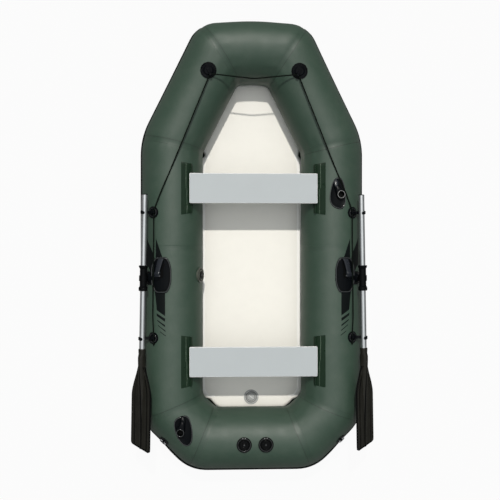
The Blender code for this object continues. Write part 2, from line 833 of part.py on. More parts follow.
def make_blade():
    """Make the right-hand blade with its socket, spine, ribs and rim."""
    parts = [0.0, 0.02, 0.10, 0.17, 0.24, 0.31, 0.38, 0.46, 0.65, 0.945, 0.965, 0.983, 0.995, 1.0]
    made = loft("oar_right_blade", [blade_section(part) for part in parts], BLACK_PLASTIC)
    bore = rod("bore", SHAFT_RADIUS + GAP, -0.010, 0.092, 24, BLACK_PLASTIC)
    turned(bore, Matrix.Translation(Vector((BLADE_START, 0.0, 0.0))) @ ALONG)
    return cut(made, bore)


def make_oar():
    """Make the right-hand oar and its left-hand twin."""
    frame = oar_frame()
    pieces = {}
    pieces["blade"] = make_blade()
    low, high = -HANDLE_REACH, BLADE_START + 0.090
    bore = SHAFT_RADIUS - SHAFT_WALL
    profile = [(bore, low), (SHAFT_RADIUS, low), (SHAFT_RADIUS, high), (bore, high)]
    pieces["shaft"] = turned(lathe("oar_right_shaft", profile, 24, ALUMINIUM, True), ALONG)
    lip, stem = SHAFT_RADIUS, bore - GAP
    low = -HANDLE_REACH
    profile = [(0.0, low - 0.004), (lip - 0.003, low - 0.004), (lip, low - 0.0015)]
    profile += [(lip, low - GAP), (stem, low - GAP), (stem, low + 0.020), (0.0, low + 0.020)]
    pieces["plug"] = turned(lathe("oar_right_plug", profile, 24, BLACK_PLASTIC), ALONG)
    half = COLLAR_LENGTH / 2.0
    hole = SHAFT_RADIUS + GAP
    profile = [(hole, -half), (FLANGE_RADIUS - 0.002, -half), (FLANGE_RADIUS, -half + 0.002)]
    profile += [(FLANGE_RADIUS, -half + 0.009), (COLLAR_RADIUS, -half + 0.017)]
    profile += [(COLLAR_RADIUS, half - 0.024)]
    profile += [(FLANGE_RADIUS, half - 0.018), (FLANGE_RADIUS, half - 0.002)]
    profile += [(FLANGE_RADIUS - 0.002, half), (hole, half)]
    pieces["collar"] = turned(lathe("oar_right_collar", profile, 20, BLACK_PLASTIC, True), ALONG)
    for name, piece in pieces.items():
        turned(piece, frame)
    pieces["swivel"] = make_swivel()
    pivot = oar_pivot()
    left = Vector((-pivot.x, pivot.y, pivot.z))
    for name, piece in pieces.items():
        shade(piece)
        twin = on_left(piece, f"oar_left_{name}")
        set_origin(piece, pivot)
        set_origin(twin, left)


def make_swivel():
    """Make the clamp and pin that the right-hand collar turns on."""
    profile = [(COLLAR_RADIUS + GAP, -0.014), (0.0215, -0.014), (0.0215, 0.014), (COLLAR_RADIUS + GAP, 0.014)]
    clamp = turned(lathe("oar_right_swivel", profile, 24, BLACK_PLASTIC, True), ALONG)
    stem = [(0.0, -0.0420), (0.0050, -0.0420), (0.0050, -0.0262), (0.0135, -0.0262)]
    stem += [(0.0135, -0.0205), (0.0110, -0.0190), (0.0, -0.0190)]
    clamp = union(clamp, lathe("stem", stem, 20, BLACK_PLASTIC))
    return turned(clamp, swing_frame())


# Oarlock pads
PAD_SHAPE = (
    (50.0, 0.42), (52.5, 0.62), (55.5, 0.80), (59.0, 0.94), (63.0, 1.00), (70.0, 1.00),
    (77.0, 1.00), (81.0, 0.975), (84.0, 0.88), (86.7, 0.72), (88.6, 0.52), (89.8, 0.31),
)
HORN_SHAPE = (
    (0.00, 73.0, 0.0030, 0.0130), (0.12, 72.0, 0.0074, 0.0130), (0.45, 69.0, 0.0078, 0.0115),
    (0.80, 65.5, 0.0088, 0.0105), (1.00, 64.0, 0.0082, 0.0100),
)
YOKE_SHAPE = ((43.0, 0.0120), (52.0, 0.0110), (60.0, 0.0095), (67.0, 0.0080))


def saddle_plate(name, rows, thickness, finish, sunk=0.0012):
    """Make a curved plate on the right-hand side from rows of (angle, aft end, fore end)."""
    rings = []
    for degrees, aft, fore in rows:
        angle = math.radians(degrees)
        low = TUBE_RADIUS - sunk
        high = TUBE_RADIUS + GAP + thickness
        row = []
        for radius, y in ((low, aft), (low, fore), (high, fore), (high, aft)):
            x = SIDE_X + radius * math.cos(angle)
            row.append(Vector((x, y, TUBE_CENTRE_Z + radius * math.sin(angle))))
        rings.append(row)
    return loft(name, rings, finish)


def oarlock_middle():
    """Middle of the oarlock pad along the boat."""
    return PIVOT_Y + PAD_LENGTH * 0.086


def oarlock_rows(inset):
    """Rows of the oarlock pad, a barrel that bulges over the crown of the tube."""
    middle = oarlock_middle()
    half = PAD_LENGTH / 2.0 - inset
    shrink = 1.0 - math.degrees(inset / TUBE_RADIUS) / 20.0
    rows = []
    for degrees, reach in PAD_SHAPE:
        angle = 70.0 + (degrees - 70.0) * shrink
        rows.append((angle, middle - half * reach, middle + half * reach))
    return rows


def make_horn():
    """Make the broad strap that runs from the pad's fore end to its middle."""
    middle = oarlock_middle()
    rings = []
    for part, degrees, height, half in HORN_SHAPE:
        y = middle + PAD_LENGTH * (0.455 - 0.50 * part)
        row = []
        for side, level in ((-1.0, 0.0), (-0.75, height), (0.75, height), (1.0, 0.0)):
            angle = math.radians(degrees) + half / TUBE_RADIUS * side
            radius = TUBE_RADIUS + GAP + 0.001 + level
            x = SIDE_X + radius * math.cos(angle)
            row.append(Vector((x, y, TUBE_CENTRE_Z + radius * math.sin(angle))))
        rings.append(row)
    return loft("horn", rings, BLACK_RUBBER)


def make_oarlock():
    """Make the oarlock pad: rim, sunk pan, strap, yoke and the boss the swivel turns in."""
    made = saddle_plate("oarlock_pad_right", oarlock_rows(0.0), 0.0045, BLACK_RUBBER)
    sunk = saddle_plate("sunk", oarlock_rows(0.0075), 0.0145, BLACK_RUBBER, -0.0027)
    made = cut(made, sunk)
    reach = 0.0335
    rows = [(degrees, PIVOT_Y - reach, PIVOT_Y + reach) for degrees in (33.0, 41.0, 49.0, 56.0)]
    rows[0] = (33.0, PIVOT_Y - reach * 0.7, PIVOT_Y + reach * 0.7)
    made = union(made, saddle_plate("tongue", rows, 0.0040, BLACK_RUBBER, 0.0010))
    rows = [(degrees, PIVOT_Y - half, PIVOT_Y + half) for degrees, half in YOKE_SHAPE]
    made = union(made, make_horn())
    made = union(made, saddle_plate("yoke", rows, 0.0072, BLACK_RUBBER, 0.0006))
    cone = [(0.0, -0.062), (0.0265, -0.062), (0.0245, -0.0440), (0.0165, -0.0270), (0.0, -0.0270)]
    boss = turned(lathe("boss", cone, 24, BLACK_RUBBER), swing_frame())
    made = union(made, boss)
    hole = turned(rod("hole", 0.0050 + GAP, -0.0430, -0.010, 20, BLACK_RUBBER), swing_frame())
    made = shade(seated(cut(made, hole)))
    on_left(made, "oarlock_pad_left")


# Keepers and lifeline
def rope_point(y):
    """Point of the lifeline on the straight side."""
    radius = TUBE_RADIUS + ROPE_HEIGHT
    angle = math.radians(ROPE_ANGLE)
    x = SIDE_X + radius * math.cos(angle)
    return Vector((x, y, TUBE_CENTRE_Z + radius * math.sin(angle)))


def make_keeper(place, y):
    """Make a round pad with its rope eye, and the rubber hook that holds the shaft."""
    frame = side_frame(y, KEEPER_ANGLE)
    made = turned(rod(f"keeper_{place}_right", 0.030, -0.012, 0.012, 22, BLACK_RUBBER), frame)
    made = curved(made, 0.0036)
    boss = block("boss", (-0.0070, -0.0175, -0.0020), (0.0070, 0.0085, 0.0175), BLACK_RUBBER)
    made = union(made, turned(rounded(boss, 0.0030, 2), frame))
    tunnel = rod("tunnel", ROPE_RADIUS + 0.0014, -0.040, 0.040, 14, BLACK_RUBBER)
    turned(tunnel, Matrix.Translation(rope_point(y)) @ Matrix.Rotation(math.pi / 2.0, 4, "X"))
    made = shade(seated(cut(made, tunnel)))
    on_left(made, f"keeper_{place}_left")
    hook = make_hook(f"keeper_{place}_hook_right", frame, y)
    on_left(hook, f"keeper_{place}_hook_left")


def make_hook(name, frame, y):
    """Make the J-shaped strap from the pad round the outer side of the shaft."""
    base = oar_frame()
    along = (oar_pivot().y - y)
    centre = frame.inverted() @ (base @ Vector((along, 0.0, 0.0)))
    middle = SHAFT_RADIUS + 0.0012 + 0.0019
    tilt = KEEPER_ANGLE - 90.0
    first = 240.0 - tilt
    last = 400.0 - tilt
    path = [(0.0085 + GAP, 0.0105), (0.0125, 0.0112), (0.0165, 0.0165)]
    path += arc((centre.y, centre.z), middle, first, last, 9)
    outer, inner = [], []
    for i, (u, v) in enumerate(path):
        before = Vector(path[max(0, i - 1)])
        after = Vector(path[min(len(path) - 1, i + 1)])
        along = (after - before).normalized()
        if i == 0:
            along = Vector((1.0, 0.0))
        side = Vector((-along.y, along.x)) * 0.0019
        outer.append((u + side.x, v + side.y))
        inner.append((u - side.x, v - side.y))
    outline = outer + list(reversed(inner))
    rings = []
    for x in (-0.0075, 0.0075):
        rings.append([frame @ Vector((x, u, v)) for u, v in outline])
    return shade(loft(name, rings, BLACK_RUBBER))


def bow_eye_frame():
    """Frame of the right-hand bow eye, on the crest of the flank."""
    return tube_frame(FLANK, EYE_DISTANCE, 90.5)


EYE_HEIGHT = 0.0158
EYE_TURN = 30.0
EYE_SHIFT = Vector((0.0150, -0.0190, 0.0))


def bow_eye_axis():
    """Frame with X on the rope's way through the right-hand bow eye."""
    lift = Matrix.Translation(EYE_SHIFT + Vector((0.0, 0.0, EYE_HEIGHT)))
    return bow_eye_frame() @ lift @ Matrix.Rotation(math.radians(EYE_TURN), 4, "Z")


def make_bow_eye():
    """Make the moulded pad and rope eye on each side of the bow."""
    frame = bow_eye_frame()
    made = turned(rod("bow_eye_right", 0.041, -0.016, 0.016, 22, BLACK_RUBBER), frame)
    made = curved(made, 0.0036)
    hub = [(0.0, -0.004), (0.0290, -0.004), (0.0280, 0.0020), (0.0190, 0.0068), (0.0, 0.0068)]
    made = union(made, turned(lathe("hub", hub, 20, BLACK_RUBBER), frame))
    bridge = block("bridge", (-0.010, -0.0075, -0.001), (0.030, 0.0075, 0.0118), BLACK_RUBBER)
    bridge = rounded(bridge, 0.003, 2)
    aim = Matrix.Rotation(math.atan2(EYE_SHIFT.y, EYE_SHIFT.x), 4, "Z")
    made = union(made, turned(bridge, frame @ aim))
    knob = rod("knob", 0.0122, -0.0045, 0.0045, 18, BLACK_RUBBER)
    turned(knob, bow_eye_axis() @ ALONG)
    made = union(made, knob)
    tunnel = rod("tunnel", 0.0062, -0.040, 0.040, 16, BLACK_RUBBER)
    turned(tunnel, bow_eye_axis() @ ALONG)
    made = shade(seated(cut(made, tunnel)))
    on_left(made, "bow_eye_left")


def clear_of_tube(point, height):
    """Push a point of the rope out of the tube so that it lies on the surface."""
    best = None
    for k in range(9):
        a = CORNERS[k]
        b = CORNERS[(k + 1) % 9]
        span = b - a
        flat = Vector((point.x, point.y))
        part = min(1.0, max(0.0, (flat - a).dot(span) / span.length_squared))
        near = a + span * part
        spot = Vector((near.x, near.y, TUBE_CENTRE_Z + rise(near.y)))
        if best is None or (point - spot).length < (point - best).length:
            best = spot
    reach = point - best
    least = TUBE_RADIUS + height
    if reach.length >= least:
        return point
    return best + reach.normalized() * least


def smooth_line(points):
    """Round off every bend of a line of points."""
    result = [points[0]]
    for i in range(1, len(points) - 1):
        before = points[i - 1] - points[i]
        after = points[i + 1] - points[i]
        turn = math.pi - before.angle(after)
        if turn < 0.05:
            result.append(points[i])
            continue
        reach = min(0.45 * before.length, 0.45 * after.length, 0.020)
        start = points[i] + before.normalized() * reach
        end = points[i] + after.normalized() * reach
        steps = 2 if turn < 0.35 else 4
        for s in range(steps + 1):
            t = s / steps
            result.append(start * (1 - t) ** 2 + points[i] * 2 * t * (1 - t) + end * t * t)
    result.append(points[-1])
    return result


def right_rope_points():
    """Right-hand half of the lifeline, from its aft end to the middle of the bow."""
    end = rope_point(KEEPER_REAR_Y - 0.036)
    points = [end, rope_point(KEEPER_REAR_Y - 0.016), rope_point(KEEPER_REAR_Y + 0.016)]
    for y in (KEEPER_REAR_Y + 0.10, PIVOT_Y, KEEPER_FRONT_Y - 0.10):
        points.append(rope_point(y))
    points.append(rope_point(KEEPER_FRONT_Y - 0.016))
    points.append(rope_point(KEEPER_FRONT_Y + 0.008))
    eye = bow_eye_axis()
    eye_in = eye @ Vector((-0.007, 0.0, 0.0))
    eye_out = eye @ Vector((0.007, 0.0, 0.0))
    if eye_in.y > eye_out.y:
        eye_in, eye_out = eye_out, eye_in
    start = points[-1]
    for i in range(1, 14):
        part = i / 14.0
        point = start + (eye_in - start) * part
        over = 0.0088 if abs(point.y - HOLDER_Y) < 0.090 else ROPE_RADIUS + 0.0009
        points.append(clear_of_tube(point, over))
    points.append(eye_in)
    points.append(eye_out)
    middle = Vector((0.0, eye_out.y - 0.022, TUBE_CENTRE_Z))
    middle.z = eye_out.z - 0.004
    middle = clear_of_tube(middle, ROPE_RADIUS + 0.0009)
    for part in (0.25, 0.5, 0.75):
        point = eye_out + (middle - eye_out) * part
        points.append(clear_of_tube(point, ROPE_RADIUS + 0.0009))
    points.append(middle)
    return points


def make_lifeline():
    """Make the lifeline in one run, knotted behind both rear keepers."""
    right = right_rope_points()
    left = [Vector((-p.x, p.y, p.z)) for p in reversed(right[:-1])]
    line = smooth_line(right + left)
    start = line[0]
    ahead = (line[1] - line[0]).normalized()
    head = [start + ahead * d for d in (0.0, 0.002, 0.008, 0.0105)]
    sizes = [1.1, 2.1, 2.1, 1.0]
    tail_start = line[-1]
    back = (line[-2] - line[-1]).normalized()
    tail = [tail_start + back * d for d in (0.0105, 0.008, 0.002, 0.0)]
    path = head + line[1:-1] + tail
    swell = sizes + [1.0] * (len(line) - 2) + list(reversed(sizes))
    shade(cord("lifeline", path, ROPE_RADIUS, BLACK_CORD, swell))


# Assembly
make_tubes()
make_bottom()
make_floor()
make_strake()
make_benches()
make_valves()
make_rod_holders()
make_quarter_ring()
make_oarlock()
make_oar()
make_keeper("front", KEEPER_FRONT_Y)
make_keeper("rear", KEEPER_REAR_Y)
make_bow_eye()
make_lifeline()
bpy.data.objects.remove(SEAT, do_unlink=True)
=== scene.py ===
"""Inflatable rowing dinghy seen from above: welded tubes, air floor, benches, oars and lifeline.

The bow points along +Y, the right-hand side of a person facing the bow is +X, and +Z is up.
"""
from __future__ import annotations

import logging
import math
from dataclasses import dataclass, field
from enum import Enum
from functools import cache

import bmesh
import bpy
import numpy as np
from mathutils import Matrix, Vector
from mathutils.geometry import delaunay_2d_cdt


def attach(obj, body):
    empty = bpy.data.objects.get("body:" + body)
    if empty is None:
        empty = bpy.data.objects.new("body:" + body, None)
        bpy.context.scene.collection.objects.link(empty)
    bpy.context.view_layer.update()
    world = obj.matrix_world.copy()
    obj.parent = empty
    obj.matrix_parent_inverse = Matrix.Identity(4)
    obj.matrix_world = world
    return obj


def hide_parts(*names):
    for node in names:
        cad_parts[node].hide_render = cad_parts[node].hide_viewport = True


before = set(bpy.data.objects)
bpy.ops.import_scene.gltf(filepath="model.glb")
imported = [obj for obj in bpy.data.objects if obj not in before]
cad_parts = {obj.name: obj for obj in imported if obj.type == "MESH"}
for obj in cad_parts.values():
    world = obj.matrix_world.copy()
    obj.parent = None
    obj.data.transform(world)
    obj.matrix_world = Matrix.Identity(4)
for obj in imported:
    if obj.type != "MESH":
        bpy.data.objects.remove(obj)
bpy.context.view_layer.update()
LOG = logging.getLogger("dinghy")

Piece = bpy.types.Object
Tree = bpy.types.NodeTree
Socket = bpy.types.NodeSocket
Sockets = bpy.types.bpy_prop_collection
Pairs = tuple[tuple[float, float], ...]
Place = tuple[int, float, float, float]
Seam = tuple[float, Vector, Vector]
Faces = list[tuple[int, ...]]


class Slot(Enum):
    """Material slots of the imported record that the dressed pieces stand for."""

    HULL = "hull_fabric"
    RAIL = "rail_fabric"
    FLOOR = "floor_fabric"
    BOTTOM = "bottom_fabric"
    RUBBER = "black_rubber"
    PLASTIC = "black_plastic"
    GREY = "grey_plastic"
    BOARD = "bench_board"
    CORD = "cord"


class Side(Enum):
    """Hand of a piece, with the sign of its X."""

    LEFT = -1.0
    RIGHT = 1.0

    @property
    def word(self) -> str:
        """Lower-case name of the side."""
        return self.name.lower()


# Node trees


class Graph:
    """Adds nodes to a tree and wires them up."""

    def __init__(self, tree: Tree) -> None:
        """Work on one shader or geometry tree."""
        self.tree = tree

    def add(self, kind: str, inputs: dict[str | int, object] | None = None, **settings: object) -> bpy.types.Node:
        """Add a node.

        Args:
            kind: Blender's class name of the node.
            inputs: What each input gets, by its name or number.
            **settings: Properties to set on it.

        Returns:
            The new node.
        """
        node = self.tree.nodes.new(kind)
        for key, value in settings.items():
            setattr(node, key, value)
        for key, value in (inputs or {}).items():
            self.feed(node.inputs[key], value)
        return node

    def feed(self, target: Socket, value: object) -> None:
        """Wire a target, or set it to a plain value.

        Args:
            target: Input socket.
            value: Output socket, node with it first, number, tuple or data-block.
        """
        if isinstance(value, bpy.types.Node):
            value = value.outputs[0]
        if isinstance(value, Socket):
            self.tree.links.new(value, target)
        else:
            target.default_value = value

    def math(self, operation: str, *terms: object, clamp: bool = False) -> Socket:
        """Result of a Math node over sockets or numbers, held from 0 to 1 where it is clamped."""
        return self.add("ShaderNodeMath", dict(enumerate(terms)), operation=operation, use_clamp=clamp).outputs[0]

    def times(self, first: object, second: object) -> Socket:
        """Product of two sockets or numbers."""
        return self.math("MULTIPLY", first, second)

    def blend(self, factor: Socket, low: object, high: object) -> Socket:
        """Mix two colours, the second one where the factor is 1."""
        return self.add("ShaderNodeMix", {"Factor": factor, 6: low, 7: high}, data_type="RGBA").outputs[2]

    def span(self, value: Socket, low: float, high: float, peak: float = 1.0) -> Socket:
        """Map a range smoothly: 0 at its low end, the peak at its high end."""
        ends = {"Value": value, "From Min": low, "From Max": high, "To Min": 0.0, "To Max": peak}
        return self.add("ShaderNodeMapRange", ends, interpolation_type="SMOOTHSTEP").outputs[0]

    def noise(self, vector: object, scale: object, detail: float, rough: float) -> Socket:
        """Value of a noise with so many bumps per metre and octaves, and the fine ones' strength."""
        values = {"Vector": vector, "Scale": scale, "Detail": detail, "Roughness": rough}
        return self.add("ShaderNodeTexNoise", values).outputs["Fac"]

    def group(self, tree: Tree, **values: object) -> Socket:
        """Place a shared group, with its inputs by name, and give its only output."""
        return self.add("ShaderNodeGroup", values, node_tree=tree).outputs[0]


class ShaderGroups:
    """Surface effects that several finishes share, each built once."""

    @staticmethod
    def start(name: str, output: str, **inputs: object) -> tuple[Graph, Sockets, Socket]:
        """Start a shader group that takes coordinates.

        Args:
            name: Group's name.
            output: Name of its output.
            **inputs: Default of each further input; what is called Colour is a colour, all else a number.

        Returns:
            The graph, what the group is given and the socket that its result goes to.
        """
        tree = bpy.data.node_groups.new(name, "ShaderNodeTree")
        kinds = {"Colour": "NodeSocketColor"}
        tree.interface.new_socket("Vector", in_out="INPUT", socket_type="NodeSocketVector")
        for label, default in inputs.items():
            kind = kinds.get(label, "NodeSocketFloat")
            tree.interface.new_socket(label, in_out="INPUT", socket_type=kind).default_value = default
        tree.interface.new_socket(output, in_out="OUTPUT", socket_type=kinds.get(output, "NodeSocketFloat"))
        graph = Graph(tree)
        return graph, graph.add("NodeGroupInput").outputs, graph.add("NodeGroupOutput").inputs[0]

    @staticmethod
    @cache
    def weave() -> Tree:
        """Plain weave that shows through a coating, as a height from 0 to 1.

        Returns:
            The group.
        """
        graph, given, result = ShaderGroups.start("cloth_weave", "Height", Pitch=0.0012)
        parts = graph.add("ShaderNodeSeparateXYZ", {0: given["Vector"]}).outputs
        turns = [graph.math("DIVIDE", parts[axis], given["Pitch"]) for axis in "XYZ"]
        x, y, z = (graph.math("SINE", graph.times(turn, math.pi)) for turn in turns)
        shifted = graph.times(graph.math("ADD", x, y), z)
        total = graph.math("ADD", graph.times(x, y), graph.times(shifted, 0.35))
        graph.feed(result, graph.math("MULTIPLY_ADD", total, 0.5, 0.5))
        return graph.tree

    @staticmethod
    @cache
    def mottle() -> Tree:
        """Broad and fine changes of tone over a surface, as a colour.

        Returns:
            The group.
        """
        grey = (0.5, 0.5, 0.5, 1.0)
        graph, given, result = ShaderGroups.start("tone_mottle", "Colour", Colour=grey, Amount=0.1, Scale=6.0)
        broad = graph.noise(given["Vector"], given["Scale"], 3.0, 0.55)
        fine = graph.noise(given["Vector"], graph.times(given["Scale"], 23.0), 2.0, 0.6)
        mask = graph.math("ADD", graph.times(broad, 0.7), graph.times(fine, 0.3))
        swing = graph.times(graph.math("SUBTRACT", mask, 0.5), given["Amount"])
        gain = graph.math("ADD", graph.times(swing, 2.6), 1.0)
        graph.feed(result, graph.add("ShaderNodeVectorMath", {0: given["Colour"], "Scale": gain}, operation="SCALE"))
        return graph.tree

    @staticmethod
    def end(graph: Graph, result: Socket, amount: Socket, both: Socket) -> Tree:
        """End a mask with its amount, held from 0 to 1."""
        graph.feed(result, graph.math("MULTIPLY", both, amount, clamp=True))
        return graph.tree

    @staticmethod
    @cache
    def scuffs() -> Tree:
        """Sparse thin rubs and scratches, as a mask.

        Returns:
            The group.
        """
        graph, given, result = ShaderGroups.start("fine_scuffs", "Mask", Amount=0.3)
        stretch = graph.add("ShaderNodeMapping", {
            "Vector": given["Vector"], "Rotation": (0.3, 0.2, 0.6), "Scale": (26.0, 420.0, 60.0),
        })
        lines = graph.span(graph.noise(stretch, 1.0, 2.0, 0.6), 0.64, 0.70)
        patches = graph.span(graph.noise(given["Vector"], 9.0, 2.0, 0.5), 0.50, 0.68)
        return ShaderGroups.end(graph, result, given["Amount"], graph.times(lines, patches))

    @staticmethod
    @cache
    def dust() -> Tree:
        """Light dust that settles on faces turned upwards, as a mask.

        Returns:
            The group.
        """
        graph, given, result = ShaderGroups.start("settled_dust", "Mask", Amount=0.2)
        normal = graph.add("ShaderNodeNewGeometry").outputs["Normal"]
        upward = graph.span(graph.add("ShaderNodeSeparateXYZ", {0: normal}).outputs["Z"], 0.35, 1.0)
        cloud = graph.span(graph.noise(given["Vector"], 14.0, 4.0, 0.65), 0.35, 0.75)
        return ShaderGroups.end(graph, result, given["Amount"], graph.times(upward, cloud))

    @staticmethod
    @cache
    def pebble() -> Tree:
        """Fine moulded or leathery grain, as a height from 0 to 1.

        Returns:
            The group.
        """
        graph, given, result = ShaderGroups.start("moulded_grain", "Height", Size=0.001)
        scale = graph.math("DIVIDE", 1.0, given["Size"])
        cells = graph.add("ShaderNodeTexVoronoi", {"Vector": given["Vector"], "Scale": scale}, feature="F1")
        soft = graph.noise(given["Vector"], graph.times(scale, 0.7), 3.0, 0.6)
        graph.feed(result, graph.math("ADD", graph.times(cells.outputs["Distance"], 0.6), graph.times(soft, 0.5)))
        return graph.tree


# Finishes


class Grain(Enum):
    """What the fine relief of a finish looks like."""

    NONE = "none"
    WEAVE = "weave"
    PEBBLE = "pebble"
    BRUSHED = "brushed"
    BOARD = "board"


@dataclass(frozen=True)
class Finish:
    """A procedural surface.

    Attributes:
        name: Material's name.
        colour: Linear base colour.
        roughness: Base roughness.
        specular: Level of the reflection, 0.5 for plain plastic.
        mottle: Strength of tone changes.
        mottle_scale: Tone patches per metre.
        scuff: Strength of scratches.
        dust: Strength of settled dust.
        grain: Kind of fine relief.
        grain_size: Size of the relief in metres.
        grain_height: Depth of the relief in metres.
        metallic: 1 for bare metal.
        coat: Weight of a clear gloss over the surface.
        on_uv: Whether the pattern follows the piece's own UV map, in metres.
        edge_lines: Half width of a strip whose edges get darker lines of painted shade, or 0.
    """

    name: str
    colour: tuple[float, float, float]
    roughness: float
    specular: float
    mottle: float
    mottle_scale: float
    scuff: float
    dust: float
    grain: Grain
    grain_size: float = 0.0010
    grain_height: float = 0.00004
    metallic: float = 0.0
    coat: float = 0.0
    on_uv: bool = False
    edge_lines: float = 0.0

    def build(self) -> bpy.types.Material:
        """Make the material.

        Returns:
            The material.
        """
        made = bpy.data.materials.new(self.name)
        made.use_nodes = True
        made.diffuse_color = (*self.colour, 1.0)
        graph = Graph(made.node_tree)
        place = graph.add("ShaderNodeTexCoord").outputs
        pattern = place["UV" if self.on_uv else "Object"]
        inputs = made.node_tree.nodes["Principled BSDF"].inputs
        for label, value in {
            "Metallic": self.metallic, "Specular IOR Level": self.specular,
            "Coat Weight": self.coat, "Coat Roughness": 0.22,
            "Base Color": self.tone(graph, place), "Roughness": self.polish(graph, place["Object"]),
        }.items():
            graph.feed(inputs[label], value)
        if self.grain is not Grain.NONE:
            relief = {"Strength": 1.0, "Distance": self.grain_height, "Height": self.relief(graph, pattern)}
            graph.feed(inputs["Normal"], graph.add("ShaderNodeBump", relief).outputs["Normal"])
        return made

    def tone(self, graph: Graph, place: Sockets) -> Socket:
        """Colour of the surface.

        Args:
            graph: Material's graph.
            place: Coordinates by name.

        Returns:
            The colour.
        """
        solid = place["Object"]
        plain = (*self.colour, 1.0)
        base = graph.group(
            ShaderGroups.mottle(), Vector=solid, Colour=plain, Amount=self.mottle, Scale=self.mottle_scale,
        )
        # Darker lines at the strip's edges, full at one edge and faint at the other: painted shade of the tape's raised
        # edge.
        if self.edge_lines > 0.0:
            across = graph.add("ShaderNodeSeparateXYZ", {0: place["UV"]}).outputs["X"]
            edge = self.edge_lines
            line = graph.span(across, edge * 0.74, edge * 0.94)
            faint = graph.span(across, edge * -0.82, edge * -0.96, 0.30)
            dark = tuple(c * 0.40 for c in self.colour)
            base = graph.blend(graph.math("ADD", line, faint, clamp=True), base, (*dark, 1.0))
        if self.scuff > 0.0:
            pale = tuple(min(1.0, c * 1.35 + 0.03) for c in self.colour)
            rubs = graph.group(ShaderGroups.scuffs(), Vector=solid, Amount=self.scuff)
            base = graph.blend(rubs, base, (*pale, 1.0))
        if self.dust > 0.0:
            settled = graph.group(ShaderGroups.dust(), Vector=solid, Amount=self.dust)
            base = graph.blend(settled, base, (0.33, 0.32, 0.29, 1.0))
        return base

    def polish(self, graph: Graph, vector: Socket) -> Socket:
        """Roughness of the surface, a little uneven."""
        swing = graph.times(graph.math("SUBTRACT", graph.noise(vector, 17.0, 3.0, 0.6), 0.5), 0.16)
        return graph.math("ADD", swing, self.roughness, clamp=True)

    def relief(self, graph: Graph, vector: Socket) -> Socket:
        """Height of the fine relief.

        Args:
            graph: Material's graph.
            vector: Pattern coordinates.

        Returns:
            The height, from 0 to about 1.
        """
        if self.grain is Grain.WEAVE:
            return graph.group(ShaderGroups.weave(), Vector=vector, Pitch=self.grain_size)
        if self.grain is Grain.PEBBLE:
            return graph.group(ShaderGroups.pebble(), Vector=vector, Size=self.grain_size)
        fine = 1.0 / self.grain_size
        long = fine / (60.0 if self.grain is Grain.BRUSHED else 40.0)
        scale = (fine, long, fine) if self.grain is Grain.BRUSHED else (long, fine, fine)
        stretch = graph.add("ShaderNodeMapping", {"Scale": scale, "Vector": vector})
        return graph.noise(stretch, 1.0, 3.0, 0.6)


